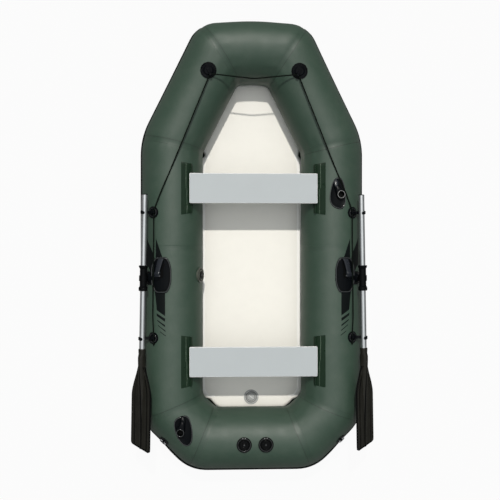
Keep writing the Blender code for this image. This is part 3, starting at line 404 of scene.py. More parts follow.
# Name, colour, roughness, specular, mottle and its scale, scuff, dust, grain with its size and height
FINISHES = {
    "hull": Finish(
        "hull_fabric_green", (0.0262, 0.0560, 0.0370), 0.56, 0.64, 0.07, 3.5, 0.10, 0.03,
        Grain.WEAVE, 0.0011, 0.00004, on_uv=True,
    ),
    # Seam tape; its edge lines are darker as painted shade.
    "tape": Finish(
        "seam_tape_green", (0.0250, 0.0532, 0.0352), 0.50, 0.64, 0.06, 6.0, 0.10, 0.03,
        Grain.WEAVE, 0.0011, 0.00004, on_uv=True, edge_lines=0.0135,
    ),
    "rail": Finish(
        "rail_strip_green", (0.0042, 0.0180, 0.0070), 0.30, 0.22, 0.20, 22.0, 0.12, 0.0,
        Grain.PEBBLE, 0.0016, 0.00010,
    ),
    # Welt beads: real gloss, with a colour far lighter than the rail as a painted highlight of their glints.
    "welt": Finish("rail_welt_gloss", (0.070, 0.120, 0.075), 0.16, 0.9, 0.10, 30.0, 0.0, 0.0, Grain.NONE, coat=0.4),
    "floor": Finish(
        "floor_fabric_cream", (0.815, 0.800, 0.745), 0.34, 0.50, 0.018, 5.0, 0.03, 0.03,
        Grain.WEAVE, 0.0013, 0.00004,
    ),
    # Rim tape: brighter than the floor panel as a painted highlight of the glints along the floor's rounded edge.
    "floor_tape": Finish(
        "floor_rim_tape", (0.925, 0.920, 0.885), 0.24, 0.60, 0.02, 7.0, 0.03, 0.02,
        Grain.PEBBLE, 0.0011, 0.00003,
    ),
    "bottom": Finish(
        "bottom_fabric_green", (0.042, 0.074, 0.054), 0.50, 0.5, 0.10, 6.0, 0.5, 0.0,
        Grain.WEAVE, 0.0016, 0.00010,
    ),
    "rubber": Finish(
        "moulded_rubber_black", (0.0026, 0.0034, 0.0044), 0.30, 0.07, 0.25, 14.0, 0.05, 0.002,
        Grain.PEBBLE, 0.0012, 0.00005,
    ),
    "plastic": Finish(
        "moulded_plastic_black", (0.0022, 0.0026, 0.0030), 0.22, 0.08, 0.20, 14.0, 0.05, 0.001,
        Grain.PEBBLE, 0.0008, 0.00003,
    ),
    "blade": Finish(
        "blade_plastic_black", (0.0112, 0.0110, 0.0084), 0.42, 0.16, 0.45, 7.0, 0.10, 0.004,
        Grain.PEBBLE, 0.0010, 0.00004,
    ),
    # Near-black finish for painted shade: grooves, slots and bores, the dark rings of valves, and the oar blades'
    # grooves, rims and tips.
    "groove": Finish(
        "moulded_groove_black", (0.0016, 0.0018, 0.0018), 0.50, 0.06, 0.20, 14.0, 0.0, 0.0,
        Grain.PEBBLE, 0.0010, 0.00004,
    ),
    # Black moulding painted far lighter than the rubber: a painted highlight on rims, rings, knobs and screw heads,
    # with real satin gloss.
    "edge": Finish(
        "moulded_edge_satin", (0.0420, 0.0460, 0.0480), 0.20, 0.50, 0.20, 30.0, 0.05, 0.0,
        Grain.PEBBLE, 0.0020, 0.00002,
    ),
    # Black moulding painted lighter than the rubber: a painted highlight on the pad strap's raised top and the front
    # rod mount's shoulder.
    "strap": Finish(
        "moulded_strap_satin", (0.0150, 0.0180, 0.0235), 0.26, 0.34, 0.20, 30.0, 0.05, 0.0,
        Grain.PEBBLE, 0.0010, 0.00003,
    ),
    "flange_green": Finish(
        "valve_plastic_green", (0.0560, 0.0640, 0.0500), 0.38, 0.5, 0.10, 20.0, 0.05, 0.0,
        Grain.PEBBLE, 0.0008, 0.00002,
    ),
    "grey": Finish(
        "valve_plastic_grey", (0.36, 0.37, 0.36), 0.40, 0.5, 0.05, 5.0, 0.05, 0.03,
        Grain.PEBBLE, 0.0008, 0.00003,
    ),
    # Darker grey of the floor valve's rings: painted shade.
    "grey_painted_shade": Finish(
        "valve_grey_painted_shade", (0.115, 0.120, 0.118), 0.50, 0.5, 0.05, 5.0, 0.0, 0.0,
        Grain.PEBBLE, 0.0008, 0.00002,
    ),
    # Lighter grey of the floor valve's ring and turning bar: painted highlight.
    "grey_light": Finish(
        "valve_ring_light", (0.56, 0.57, 0.56), 0.30, 0.5, 0.04, 5.0, 0.0, 0.0,
        Grain.PEBBLE, 0.0008, 0.00002,
    ),
    "board": Finish(
        "bench_laminate_grey", (0.425, 0.462, 0.480), 0.36, 0.45, 0.022, 9.0, 0.10, 0.03,
        Grain.BOARD, 0.0016, 0.00005,
    ),
    # White of the bench's rounded edges: a painted highlight.
    "edge_highlight_white": Finish(
        "bench_edging_white", (0.78, 0.79, 0.79), 0.32, 0.5, 0.02, 5.0, 0.05, 0.02,
        Grain.PEBBLE, 0.0010, 0.00002,
    ),
    "aluminium": Finish(
        "anodised_aluminium", (0.58, 0.60, 0.61), 0.32, 0.5, 0.03, 12.0, 0.10, 0.02,
        Grain.BRUSHED, 0.0009, 0.00001, metallic=1.0,
    ),
    "steel": Finish(
        "polished_steel", (0.60, 0.61, 0.62), 0.18, 0.5, 0.03, 5.0, 0.10, 0.0,
        Grain.BRUSHED, 0.0008, 0.00001, metallic=1.0,
    ),
    "rope": Finish(
        "braided_cord_black", (0.0018, 0.0042, 0.0026), 0.70, 0.10, 0.25, 60.0, 0.0, 0.0,
        Grain.PEBBLE, 0.0005, 0.00006,
    ),
    "strake": Finish(
        "strake_rubber_dark", (0.0042, 0.0064, 0.0050), 0.50, 0.10, 0.15, 14.0, 0.10, 0.01,
        Grain.PEBBLE, 0.0012, 0.00006,
    ),
    # Light grey standing for glints: painted highlight on the front rod mount's mouth ring and dots on the black
    # valves.
    "lip": Finish(
        "mount_painted_glint_grey", (0.200, 0.205, 0.205), 0.26, 0.5, 0.10, 5.0, 0.05, 0.01,
        Grain.PEBBLE, 0.0008, 0.00002,
    ),
    "print_ink": Finish(
        "printed_stripe_black", (0.0024, 0.0040, 0.0042), 0.50, 0.10, 0.20, 20.0, 0.08, 0.002,
        Grain.WEAVE, 0.0011, 0.00004,
    ),
}


@cache
def paint_of(name: str) -> bpy.types.Material:
    """Material of a finish, built once."""
    return FINISHES[name].build()


# Mesh making


def linked(name: str, data: bpy.types.ID) -> Piece:
    """Put an object in the scene.

    Args:
        name: Object's name.
        data: Its mesh, curve, camera or lamp.

    Returns:
        The new object.
    """
    made = bpy.data.objects.new(name, data)
    bpy.context.scene.collection.objects.link(made)
    return made


def new_piece(name: str, verts: list[Vector], faces: Faces, paint: str, smooth: float = 180.0) -> Piece:
    """Make an object from corners and faces.

    Args:
        name: Object's name.
        verts: Corners in metres.
        faces: Corner numbers of each face.
        paint: Name of its finish.
        smooth: Edges sharper than this many degrees stay sharp.

    Returns:
        The new object.
    """
    mesh = bpy.data.meshes.new(name)
    mesh.from_pydata([tuple(v) for v in verts], [], faces)
    mesh.update()
    mesh.materials.append(paint_of(paint))
    mesh.shade_smooth()
    if smooth < 180.0:
        mesh.set_sharp_from_angle(angle=math.radians(smooth))
    return linked(name, mesh)


def face_outwards(made: Piece) -> Piece:
    """Merge doubles of a closed shell and turn its faces out.

    Args:
        made: Object to mend.

    Returns:
        The same object.
    """
    bm = bmesh.new()
    bm.from_mesh(made.data)
    bmesh.ops.remove_doubles(bm, verts=bm.verts, dist=0.000002)
    bmesh.ops.recalc_face_normals(bm, faces=bm.faces)
    if bm.calc_volume(signed=True) < 0.0:
        bmesh.ops.reverse_faces(bm, faces=bm.faces)
    bm.to_mesh(made.data)
    bm.free()
    return made


def face_level(made: Piece, way: float = 1.0) -> Piece:
    """Turn an open sheet's faces up, or down where the way is -1.

    Args:
        made: Object to mend.
        way: Sign of the Z that its faces get.

    Returns:
        The same object.
    """
    if way * sum(polygon.normal.z for polygon in made.data.polygons) < 0.0:
        made.data.flip_normals()
    return made


def bake(made: Piece) -> Piece:
    """Turn an object with modifiers, or a curve, into a plain mesh.

    Args:
        made: Object to bake.

    Returns:
        The plain mesh object, under the same name.
    """
    bpy.context.view_layer.update()
    graph = bpy.context.evaluated_depsgraph_get()
    mesh = bpy.data.meshes.new_from_object(made.evaluated_get(graph))
    if made.type == "MESH":
        made.modifiers.clear()
        made.data = mesh
        return made
    name = made.name
    bpy.data.objects.remove(made, do_unlink=True)
    return linked(name, mesh)


def join_meshes(name: str, pieces: list[Piece]) -> Piece:
    """Put several plain meshes together into one.

    Args:
        name: Name of the result.
        pieces: Meshes to use up.

    Returns:
        The joined object.
    """
    bm = bmesh.new()
    materials: list[bpy.types.Material] = []
    for piece in pieces:
        start = len(bm.faces)
        bm.from_mesh(piece.data)
        bm.faces.ensure_lookup_table()
        for face in bm.faces[start:]:
            material = piece.data.materials[face.material_index]
            if material not in materials:
                materials.append(material)
            face.material_index = materials.index(material)
        bpy.data.objects.remove(piece, do_unlink=True)
    mesh = bpy.data.meshes.new(name)
    bm.to_mesh(mesh)
    bm.free()
    for material in materials:
        mesh.materials.append(material)
    return linked(name, mesh)


def skin(rows: list[list[Vector]], ring: bool = False, caps: bool = False) -> tuple[list[Vector], Faces]:
    """Faces between equal rows of points.

    Args:
        rows: The rows.
        ring: Whether each row closes on itself.
        caps: Whether the end rows are filled.

    Returns:
        Corners and faces.
    """
    size = len(rows[0])
    verts = [point for row in rows for point in row]
    faces: Faces = []
    for a in range(0, len(verts) - size, size):
        b = a + size
        for k in range(size if ring else size - 1):
            m = (k + 1) % size
            faces.append((a + k, a + m, b + m, b + k))
    if caps:
        last = len(verts) - size
        faces += [tuple(range(size - 1, -1, -1)), tuple(range(last, last + size))]
    return verts, faces


def shell(name: str, rows: list[list[Vector]], paint: str, smooth: float = 50.0) -> Piece:
    """Closed solid over equal rows of points that each close on themselves, from end to end."""
    return face_outwards(new_piece(name, *skin(rows, True, True), paint, smooth))


def curve_of(name: str, points: list[Vector], closed: bool = False) -> Piece:
    """Make a curve of straight steps.

    Args:
        name: Object's name.
        points: Points that it goes through.
        closed: Whether the last point meets the first.

    Returns:
        The curve's object.
    """
    curve = bpy.data.curves.new(name, "CURVE")
    curve.dimensions = "3D"
    spline = curve.splines.new("POLY")
    spline.use_cyclic_u = closed
    spline.points.add(len(points) - 1)
    for spot, point in zip(spline.points, points):
        spot.co = (*point, 1.0)
    return linked(name, curve)


def wire(name: str, points: list[Vector], radius: float, paint: str, closed: bool = False) -> Piece:
    """Make a round wire along points.

    Args:
        name: Object's name.
        points: Points of its centreline.
        radius: Radius of the wire.
        paint: Name of its finish.
        closed: Whether the last point meets the first.

    Returns:
        The baked wire.
    """
    made = curve_of(name, points, closed)
    made.data.bevel_depth = radius
    made.data.bevel_resolution = 2
    made.data.use_fill_caps = not closed
    made.data.materials.append(paint_of(paint))
    made = bake(made)
    made.data.shade_smooth()
    return made


def hoop(radius: float, thickness: float, level: float, paint: str, place: Matrix) -> Piece:
    """Make a round ring about Z.

    Args:
        radius: Radius to the ring's middle.
        thickness: Radius of its section.
        level: Height of its middle.
        paint: Name of its finish.
        place: Frame that it lies in.

    Returns:
        The ring.
    """
    turns = [math.tau * i / 56.0 for i in range(56)]
    points = [place @ Vector((radius * math.cos(a), radius * math.sin(a), level)) for a in turns]
    return wire("hoop", points, thickness, paint, True)


def lathe(name: str, profile: list[tuple[float, float]], paint: str, place: Matrix) -> Piece:
    """Turn a profile about Z into a closed solid.

    Args:
        name: Object's name.
        profile: Radius and height of each point, from axis to axis.
        paint: Name of its finish.
        place: Frame that it stands in.

    Returns:
        The solid.
    """
    turns = [math.tau * i / 40.0 for i in range(40)]
    rounds = [(max(r, 0.00004), z) for r, z in profile]
    made = shell(name, [[Vector((r * math.cos(a), r * math.sin(a), z)) for a in turns] for r, z in rounds], paint, 40.0)
    made.data.transform(place)
    return made


def chamfered(points: list[Vector], times: int = 2) -> list[Vector]:
    """Round off a closed path by cutting its corners a few times.

    Args:
        points: Points of the path.
        times: How often each corner is cut.

    Returns:
        The rounder path.
    """
    for _ in range(times):
        pairs = list(zip(points, points[1:] + points[:1]))
        points = [p for a, b in pairs for p in (a.lerp(b, 0.25), a.lerp(b, 0.75))]
    return points


def swap_sides(made: Piece) -> Piece:
    """Turn a right-hand piece into its left-hand twin.

    Args:
        made: Right-hand piece.

    Returns:
        The same object.
    """
    made.data.transform(Matrix.Scale(-1.0, 4, Vector((1.0, 0.0, 0.0))))
    made.data.flip_normals()
    return made


def mirrored(made: Piece, name: str) -> Piece:
    """Left-hand twin of a right-hand piece that stays."""
    return swap_sides(linked(name, made.data.copy()))


def settle(made: Piece, body: str, slot: Slot, *nodes: str) -> Piece:
    """Hang a finished piece on a body and hide the CAD nodes that it replaces.

    Args:
        made: Finished piece.
        body: Body that carries it.
        slot: Record's material slot; not used.
        *nodes: CAD nodes that it replaces.

    Returns:
        The same piece.
    """
    if nodes:
        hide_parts(*nodes)
    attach(made, body)
    return made


def unit(value: float) -> float:
    """Value held from 0 to 1."""
    return min(1.0, max(0.0, value))


def net(border: list[Vector], inner: list[Vector], reach: float) -> tuple[list[Vector], Faces]:
    """Flat triangles inside a closed border.

    Args:
        border: Plan points of the border, in order.
        inner: Plan points inside it.
        reach: Distance at which points count as one.

    Returns:
        Plan points, the border's first, and triangles.
    """
    ring = list(range(len(border)))
    edges = [(i, (i + 1) % len(border)) for i in ring]
    points, _, triangles, *_ = delaunay_2d_cdt(border + inner, edges, [ring], 1, reach)
    return points, [tuple(t) for t in triangles]


def crossings(ring: list[Vector], y: float) -> list[float]:
    """Each X, in order, where a closed plan outline crosses a line across the boat."""
    pairs = zip(ring, ring[1:] + ring[:1])
    return sorted(a.x + (b.x - a.x) * (y - a.y) / (b.y - a.y) for a, b in pairs if (a.y > y) != (b.y > y))


# Geometry Nodes


class Repeater:
    """Tree that repeats or sweeps a shape, with a named input for each size."""

    kinds = {int: "NodeSocketInt", float: "NodeSocketFloat", tuple: "NodeSocketVector"}

    def __init__(self, name: str, paint: str, sizes: dict[str, object]) -> None:
        """Start a geometry tree.

        Args:
            name: Name of the tree.
            paint: Name of the finish that it sets.
            sizes: Name of each input and the value that the modifier gets.
        """
        self.tree = bpy.data.node_groups.new(name, "GeometryNodeTree")
        self.sizes = {**sizes, "Paint": paint_of(paint)}
        for way in ("INPUT", "OUTPUT"):
            self.tree.interface.new_socket("Geometry", in_out=way, socket_type="NodeSocketGeometry")
        for label, value in self.sizes.items():
            kind = self.kinds.get(type(value), "NodeSocketMaterial")
            self.tree.interface.new_socket(label, in_out="INPUT", socket_type=kind)
        self.graph = Graph(self.tree)
        self.given = self.graph.add("NodeGroupInput").outputs

    def run(self, geometry: object, carrier: Piece) -> Piece:
        """End the tree in Realize Instances and Set Material, run it on an object and bake that.

        Args:
            geometry: Node or socket whose geometry it puts out.
            carrier: Object that the tree works on.

        Returns:
            The baked mesh.
        """
        real = self.graph.add("GeometryNodeRealizeInstances", {0: geometry})
        paint = self.graph.add("GeometryNodeSetMaterial", {"Geometry": real, "Material": self.given["Paint"]})
        self.graph.add("NodeGroupOutput", {0: paint})
        modifier = carrier.modifiers.new(self.tree.name, "NODES")
        modifier.node_group = self.tree
        for item in self.tree.interface.items_tree:
            if item.item_type == "SOCKET" and item.in_out == "INPUT" and item.name in self.sizes:
                modifier[item.identifier] = self.sizes[item.name]
        made = bake(carrier)
        made.data.shade_smooth()
        return made

    def run_at(self, geometry: object, name: str, place: Matrix) -> Piece:
        """Run the tree on one loose point.

        Args:
            geometry: Node or socket whose geometry it puts out.
            name: Object's name.
            place: Frame that the result stands in.

        Returns:
            The baked mesh.
        """
        mesh = bpy.data.meshes.new(name)
        mesh.from_pydata([(0.0, 0.0, 0.0)], [], [])
        made = self.run(geometry, linked(name, mesh))
        made.data.transform(place)
        return made


@dataclass
class RingOfLugs:
    """Small bars set round a circle, such as the grip of a cap.

    Attributes:
        count: Number of bars.
        radius: Radius to the bars' middle.
        length: Size along the radius.
        width: Size round the circle.
        height: Size along the axis.
        level: Height of the bars' middle.
    """

    count: int
    radius: float
    length: float
    width: float
    height: float
    level: float

    def build(self, name: str, paint: str, place: Matrix) -> Piece:
        """Make the ring of bars.

        Args:
            name: Object's name.
            paint: Name of its finish.
            place: Frame that the ring stands in.

        Returns:
            The baked ring.
        """
        bar = (self.length, self.width, self.height)
        tool = Repeater("ring_of_lugs", paint, {
            "Count": self.count, "Radius": self.radius, "Level": self.level, "Bar": bar,
        })
        add, given = tool.graph.add, tool.given
        circle = add("GeometryNodeMeshCircle", {"Vertices": given["Count"], "Radius": given["Radius"]})
        cube = add("GeometryNodeMeshCube", {"Size": given["Bar"], **{f"Vertices {axis}": 3 for axis in "XYZ"}})
        soft = add("GeometryNodeSubdivisionSurface", {"Mesh": cube, "Level": 1})
        share = tool.graph.math("DIVIDE", add("GeometryNodeInputIndex").outputs[0], given["Count"])
        turn = add("ShaderNodeCombineXYZ", {"Z": tool.graph.times(share, math.tau)})
        copies = add("GeometryNodeInstanceOnPoints", {"Points": circle, "Instance": soft, "Rotation": turn})
        rise = add("ShaderNodeCombineXYZ", {"Z": given["Level"]})
        return tool.run_at(add("GeometryNodeSetPosition", {"Geometry": copies, "Offset": rise}), name, place)


@dataclass
class RowOfBeads:
    """Uneven little beads in a straight row, such as the welt of a welded rail.

    Attributes:
        count: Number of beads.
        length: Length of the row, along Y.
        radius: Radius of a bead.
        seed: Seed of the unevenness.
    """

    count: int
    length: float
    radius: float
    seed: int

    def build(self, name: str, paint: str, place: Matrix) -> Piece:
        """Make the row of beads.

        Args:
            name: Object's name.
            paint: Name of its finish.
            place: Frame whose origin is the middle of the row.

        Returns:
            The baked row.
        """
        tool = Repeater("row_of_beads", paint, {
            "Count": self.count, "Length": self.length, "Radius": self.radius, "Seed": self.seed,
        })
        add, times, given = tool.graph.add, tool.graph.times, tool.given
        half = times(given["Length"], 0.5)
        line = add("GeometryNodeMeshLine", {
            "Count": given["Count"], "Start Location": add("ShaderNodeCombineXYZ", {"Y": times(half, -1.0)}),
            "Offset": add("ShaderNodeCombineXYZ", {"Y": half}),
        }, mode="END_POINTS")
        ball = add("GeometryNodeMeshUVSphere", {"Segments": 8, "Rings": 6, "Radius": given["Radius"]})
        vary = add("FunctionNodeRandomValue", {
            "Min": (0.7, 0.9, 0.6), "Max": (1.15, 1.9, 1.15), "Seed": given["Seed"],
        }, data_type="FLOAT_VECTOR")
        copies = add("GeometryNodeInstanceOnPoints", {"Points": line, "Instance": ball, "Scale": vary})
        return tool.run_at(copies, name, place)


@dataclass
class Braid:
    """Round braid of eight carriers along a curve.

    Attributes:
        radius: Outer radius of the cord.
        pitch: Length of one full turn of a carrier.
        step: Distance between cross-sections.
    """

    radius: float
    pitch: float = 0.024
    step: float = 0.0022

    def build(self, path: Piece, paint: str) -> Piece:
        """Braid a cord along a curve.

        Args:
            path: Curve to follow, which is used up.
            paint: Name of its finish.

        Returns:
            The baked cord.
        """
        strand = self.radius * 0.36
        tool = Repeater("braided_cord", paint, {
            "Middle Radius": self.radius - strand * 1.25, "Strand Radius": strand,
            "Crossing Height": strand * 0.35, "Pitch": self.pitch, "Step": self.step, "Carriers": 8,
        })
        graph, given = tool.graph, tool.given
        add, times = graph.add, graph.times
        even = add("GeometryNodeResampleCurve", {"Curve": given["Geometry"], "Length": given["Step"]}, mode="LENGTH")
        upright = add("GeometryNodeSetCurveNormal", {0: even})
        copies = add("GeometryNodeDuplicateElements", {
            "Geometry": upright, "Amount": given["Carriers"],
        }, domain="SPLINE")
        index = copies.outputs["Duplicate Index"]
        hand = graph.math("MULTIPLY_ADD", graph.math("MODULO", index, 2.0), 2.0, -1.0)
        along = add("GeometryNodeSplineParameter").outputs["Length"]
        angle = times(graph.math("DIVIDE", along, given["Pitch"]), math.tau)
        start = times(graph.math("FLOOR", graph.math("DIVIDE", index, 2.0)), math.pi / 2.0)
        place = graph.math("ADD", times(angle, hand), start)
        rise = times(times(graph.math("COSINE", times(angle, 4.0)), hand), given["Crossing Height"])
        reach = graph.math("ADD", given["Middle Radius"], rise)
        normal = add("GeometryNodeInputNormal")
        across = {0: add("GeometryNodeInputTangent"), 1: normal}
        side = add("ShaderNodeVectorMath", across, operation="CROSS_PRODUCT")
        parts = []
        for vector, wheel in ((normal, "COSINE"), (side, "SINE")):
            scaled = {0: vector, "Scale": times(graph.math(wheel, place), reach)}
            parts.append(add("ShaderNodeVectorMath", scaled, operation="SCALE"))
        offset = add("ShaderNodeVectorMath", dict(enumerate(parts)), operation="ADD")
        move = add("GeometryNodeSetPosition", {"Geometry": copies, "Offset": offset})
        strand_ring = add("GeometryNodeCurvePrimitiveCircle", {"Resolution": 5, "Radius": given["Strand Radius"]})
        sweep = add("GeometryNodeCurveToMesh", {"Curve": move, "Profile Curve": strand_ring, "Fill Caps": True})
        return tool.run(sweep, path)


# Hull


@dataclass
class HullLines:
    """Sizes of the hull and the path that its air tube follows."""

    length: float = 2.300
    beam: float = 1.139
    radius: float = 0.157
    bow_width: float = 0.355
    bow_sag: float = 0.0115
    stern_width: float = 0.508
    fore_corner: float = 0.227
    aft_corner: float = -0.3605
    split: float = -0.0025
    bow_rise: float = 0.050
    rise_start: float = 0.155
    soft_out: float = 0.092
    skin: float = 0.0025
    gap: float = 0.0003
    floor_top: float = 0.080
    strake_height: float = 0.0058
    square_margin: float = 0.120
    corners: list[Vector] = field(default_factory=list)

    def __post_init__(self) -> None:
        """Work out the corners of the tube's centreline, clockwise from the bow."""
        self.soft_in = self.bow_width * 0.0845
        self.centre_z = self.skin + self.gap + self.radius
        self.side_x = self.beam / 2.0 - self.radius
        slope = 2.0 * self.bow_sag / self.bow_width
        blunt = self.soft_out * self.bow_sag / self.bow_width - self.radius * slope ** 2 / 2.0
        self.bow_y = self.length / 2.0 - self.radius + blunt
        self.stern_y = self.radius + self.gap + self.strake_height - self.length / 2.0
        self.fore_y = self.length * self.fore_corner
        self.aft_y = self.length * self.aft_corner
        self.split_y = self.length * self.split
        self.rise_y = self.length * self.rise_start
        half_bow, half_stern = self.bow_width / 2.0, self.stern_width / 2.0
        right = [
            (half_bow, self.bow_y - self.bow_sag), (self.side_x, self.fore_y),
            (self.side_x, self.aft_y), (half_stern, self.stern_y),
        ]
        left = [(-x, y) for x, y in reversed(right)]
        self.corners = [Vector(p) for p in [(0.0, self.bow_y)] + right + left]

    def rise(self, y: float) -> float:
        """Height that the hull turns up by at a distance along the boat.

        Args:
            y: Distance along the boat.

        Returns:
            The height.
        """
        if y <= self.rise_y:
            return 0.0
        part = (y - self.rise_y) / (self.bow_y - self.rise_y)
        return self.bow_rise * part * part

    def heading(self, k: int) -> Vector:
        """Direction of the centreline from corner k to the next one."""
        return (self.corners[(k + 1) % 9] - self.corners[k % 9]).normalized()

    def outward(self, k: int) -> Vector:
        """Level direction out of the boat, square to the run after corner k."""
        way = self.heading(k)
        return Vector((-way.y, way.x))

    def bisector(self, k: int) -> Vector:
        """Level direction from corner k outwards along its mitre."""
        return (self.outward(k - 1) + self.outward(k)).normalized()

    def mitre(self, k: int, offset: float) -> Vector:
        """Corner k of the outline at a distance outside the centreline."""
        middle = self.bisector(k)
        return self.corners[k % 9] + middle * (offset / middle.dot(self.outward(k)))

    def corner_point(self, k: int, part: float, offset: float) -> Vector:
        """Point of a rounded corner.

        Args:
            k: Corner's number.
            part: Share of the bend, from 0 to 1.
            offset: Distance outside the centreline.

        Returns:
            The plan point.
        """
        share = unit((offset / self.radius + 1.0) / 2.0)
        soft = self.soft_in + (self.soft_out - self.soft_in) * share
        middle = self.mitre(k, offset)
        start = middle - self.heading(k - 1) * soft
        end = middle + self.heading(k) * soft
        return start * ((1.0 - part) ** 2) + middle * (2.0 * part * (1.0 - part)) + end * part ** 2

    def plan(self, u: float, offset: float) -> Vector:
        """Plan point along the closed path.

        Args:
            u: Place from 0 to 18; even steps are corners, odd steps are runs.
            offset: Distance outside the centreline.

        Returns:
            The plan point.
        """
        whole = math.floor(u)
        part = u - whole
        step = int(whole) % 18
        k = step // 2
        if step % 2 == 0:
            return self.corner_point(k, part, offset)
        start = self.corner_point(k, 1.0, offset)
        end = self.corner_point(k + 1, 0.0, offset)
        if k not in (2, 6):
            return start.lerp(end, part)
        sign = 1.0 if k == 2 else -1.0
        x = sign * (self.side_x + offset)
        first, last = self.fore_y - self.square_margin, self.aft_y + self.square_margin
        if k == 6:
            first, last = last, first
        if part < 0.08:
            return start.lerp(Vector((x, first)), part / 0.08)
        if part > 0.92:
            return Vector((x, last)).lerp(end, (part - 0.92) / 0.08)
        return Vector((x, first + (last - first) * (part - 0.08) / 0.84))

    def side_place(self, side: Side, y: float) -> float:
        """Place along the path of a point on a straight side.

        Args:
            side: Which side.
            y: Distance along the boat.

        Returns:
            The place on the path.
        """
        first, last = self.fore_y - self.square_margin, self.aft_y + self.square_margin
        share = (first - y) / (first - last)
        if side is Side.RIGHT:
            return 5.08 + 0.84 * share
        return 13.08 + 0.84 * (1.0 - share)

    def surface(self, u: float, angle: float, height: float = 0.0) -> Vector:
        """Point on or over the tube.

        Args:
            u: Place along the path.
            angle: Radians round the tube, 0 outwards and a quarter turn up.
            height: Distance out of the plain round surface.

        Returns:
            The point.
        """
        reach = self.radius + height
        flat = self.plan(u, reach * math.cos(angle))
        return Vector((flat.x, flat.y, self.centre_z + reach * math.sin(angle) + self.rise(flat.y)))

    def side_point(self, side: Side, y: float, degrees: float, height: float = 0.0) -> Vector:
        """Point on or over a straight side.

        Args:
            side: Which side.
            y: Distance along the boat.
            degrees: Angle round the tube.
            height: Distance out of the surface.

        Returns:
            The point.
        """
        angle = math.radians(degrees)
        reach = self.radius + height
        x = side.value * (self.side_x + reach * math.cos(angle))
        return Vector((x, y, self.centre_z + reach * math.sin(angle) + self.rise(y)))

    def run_frame(self, k: int, distance: float, degrees: float, height: float = 0.0, twist: float = 0.0) -> Matrix:
        """Frame on a straight run: X along it, Y down its outer side, Z out of the surface.

        Args:
            k: Number of the corner before the run.
            distance: Distance from that corner.
            degrees: Angle round the tube.
            height: Distance out of the surface.
            twist: Turn about Z in degrees.

        Returns:
            The frame.
        """
        angle = math.radians(degrees)

        def spot(reach: float, turn: float) -> Vector:
            """Point at a distance along the run.

            Args:
                reach: The distance.
                turn: Radians round the tube.

            Returns:
                The point.
            """
            flat = self.corners[k] + self.heading(k) * reach
            flat = flat + self.outward(k) * ((self.radius + height) * math.cos(turn))
            z = self.centre_z + (self.radius + height) * math.sin(turn) + self.rise(flat.y)
            return Vector((flat.x, flat.y, z))

        here = spot(distance, angle)
        x = (spot(distance + 0.001, angle) - here).normalized()
        z = x.cross(here - spot(distance, angle + 0.001)).normalized()
        y = z.cross(x)
        place = Matrix((x, y, z)).transposed().to_4x4()
        place.translation = here
        return place @ Matrix.Rotation(math.radians(twist), 4, "Z")

    def laid(self, place: Place, x: float, y: float, height: float) -> Vector:
        """Point on the tube from a flat drawing round a place on a straight run.

        Args:
            place: Corner before the run, distance from it, degrees round the tube and twist in degrees.
            x: Distance along the drawing's own X.
            y: Distance along the drawing's own Y, down the outer side.
            height: Distance out of the surface.

        Returns:
            The point.
        """
        k, distance, degrees, twist = place
        turn = math.radians(twist)
        along = x * math.cos(turn) - y * math.sin(turn)
        down = x * math.sin(turn) + y * math.cos(turn)
        return self.run_frame(k, distance + along, degrees - math.degrees(down / self.radius), height).translation


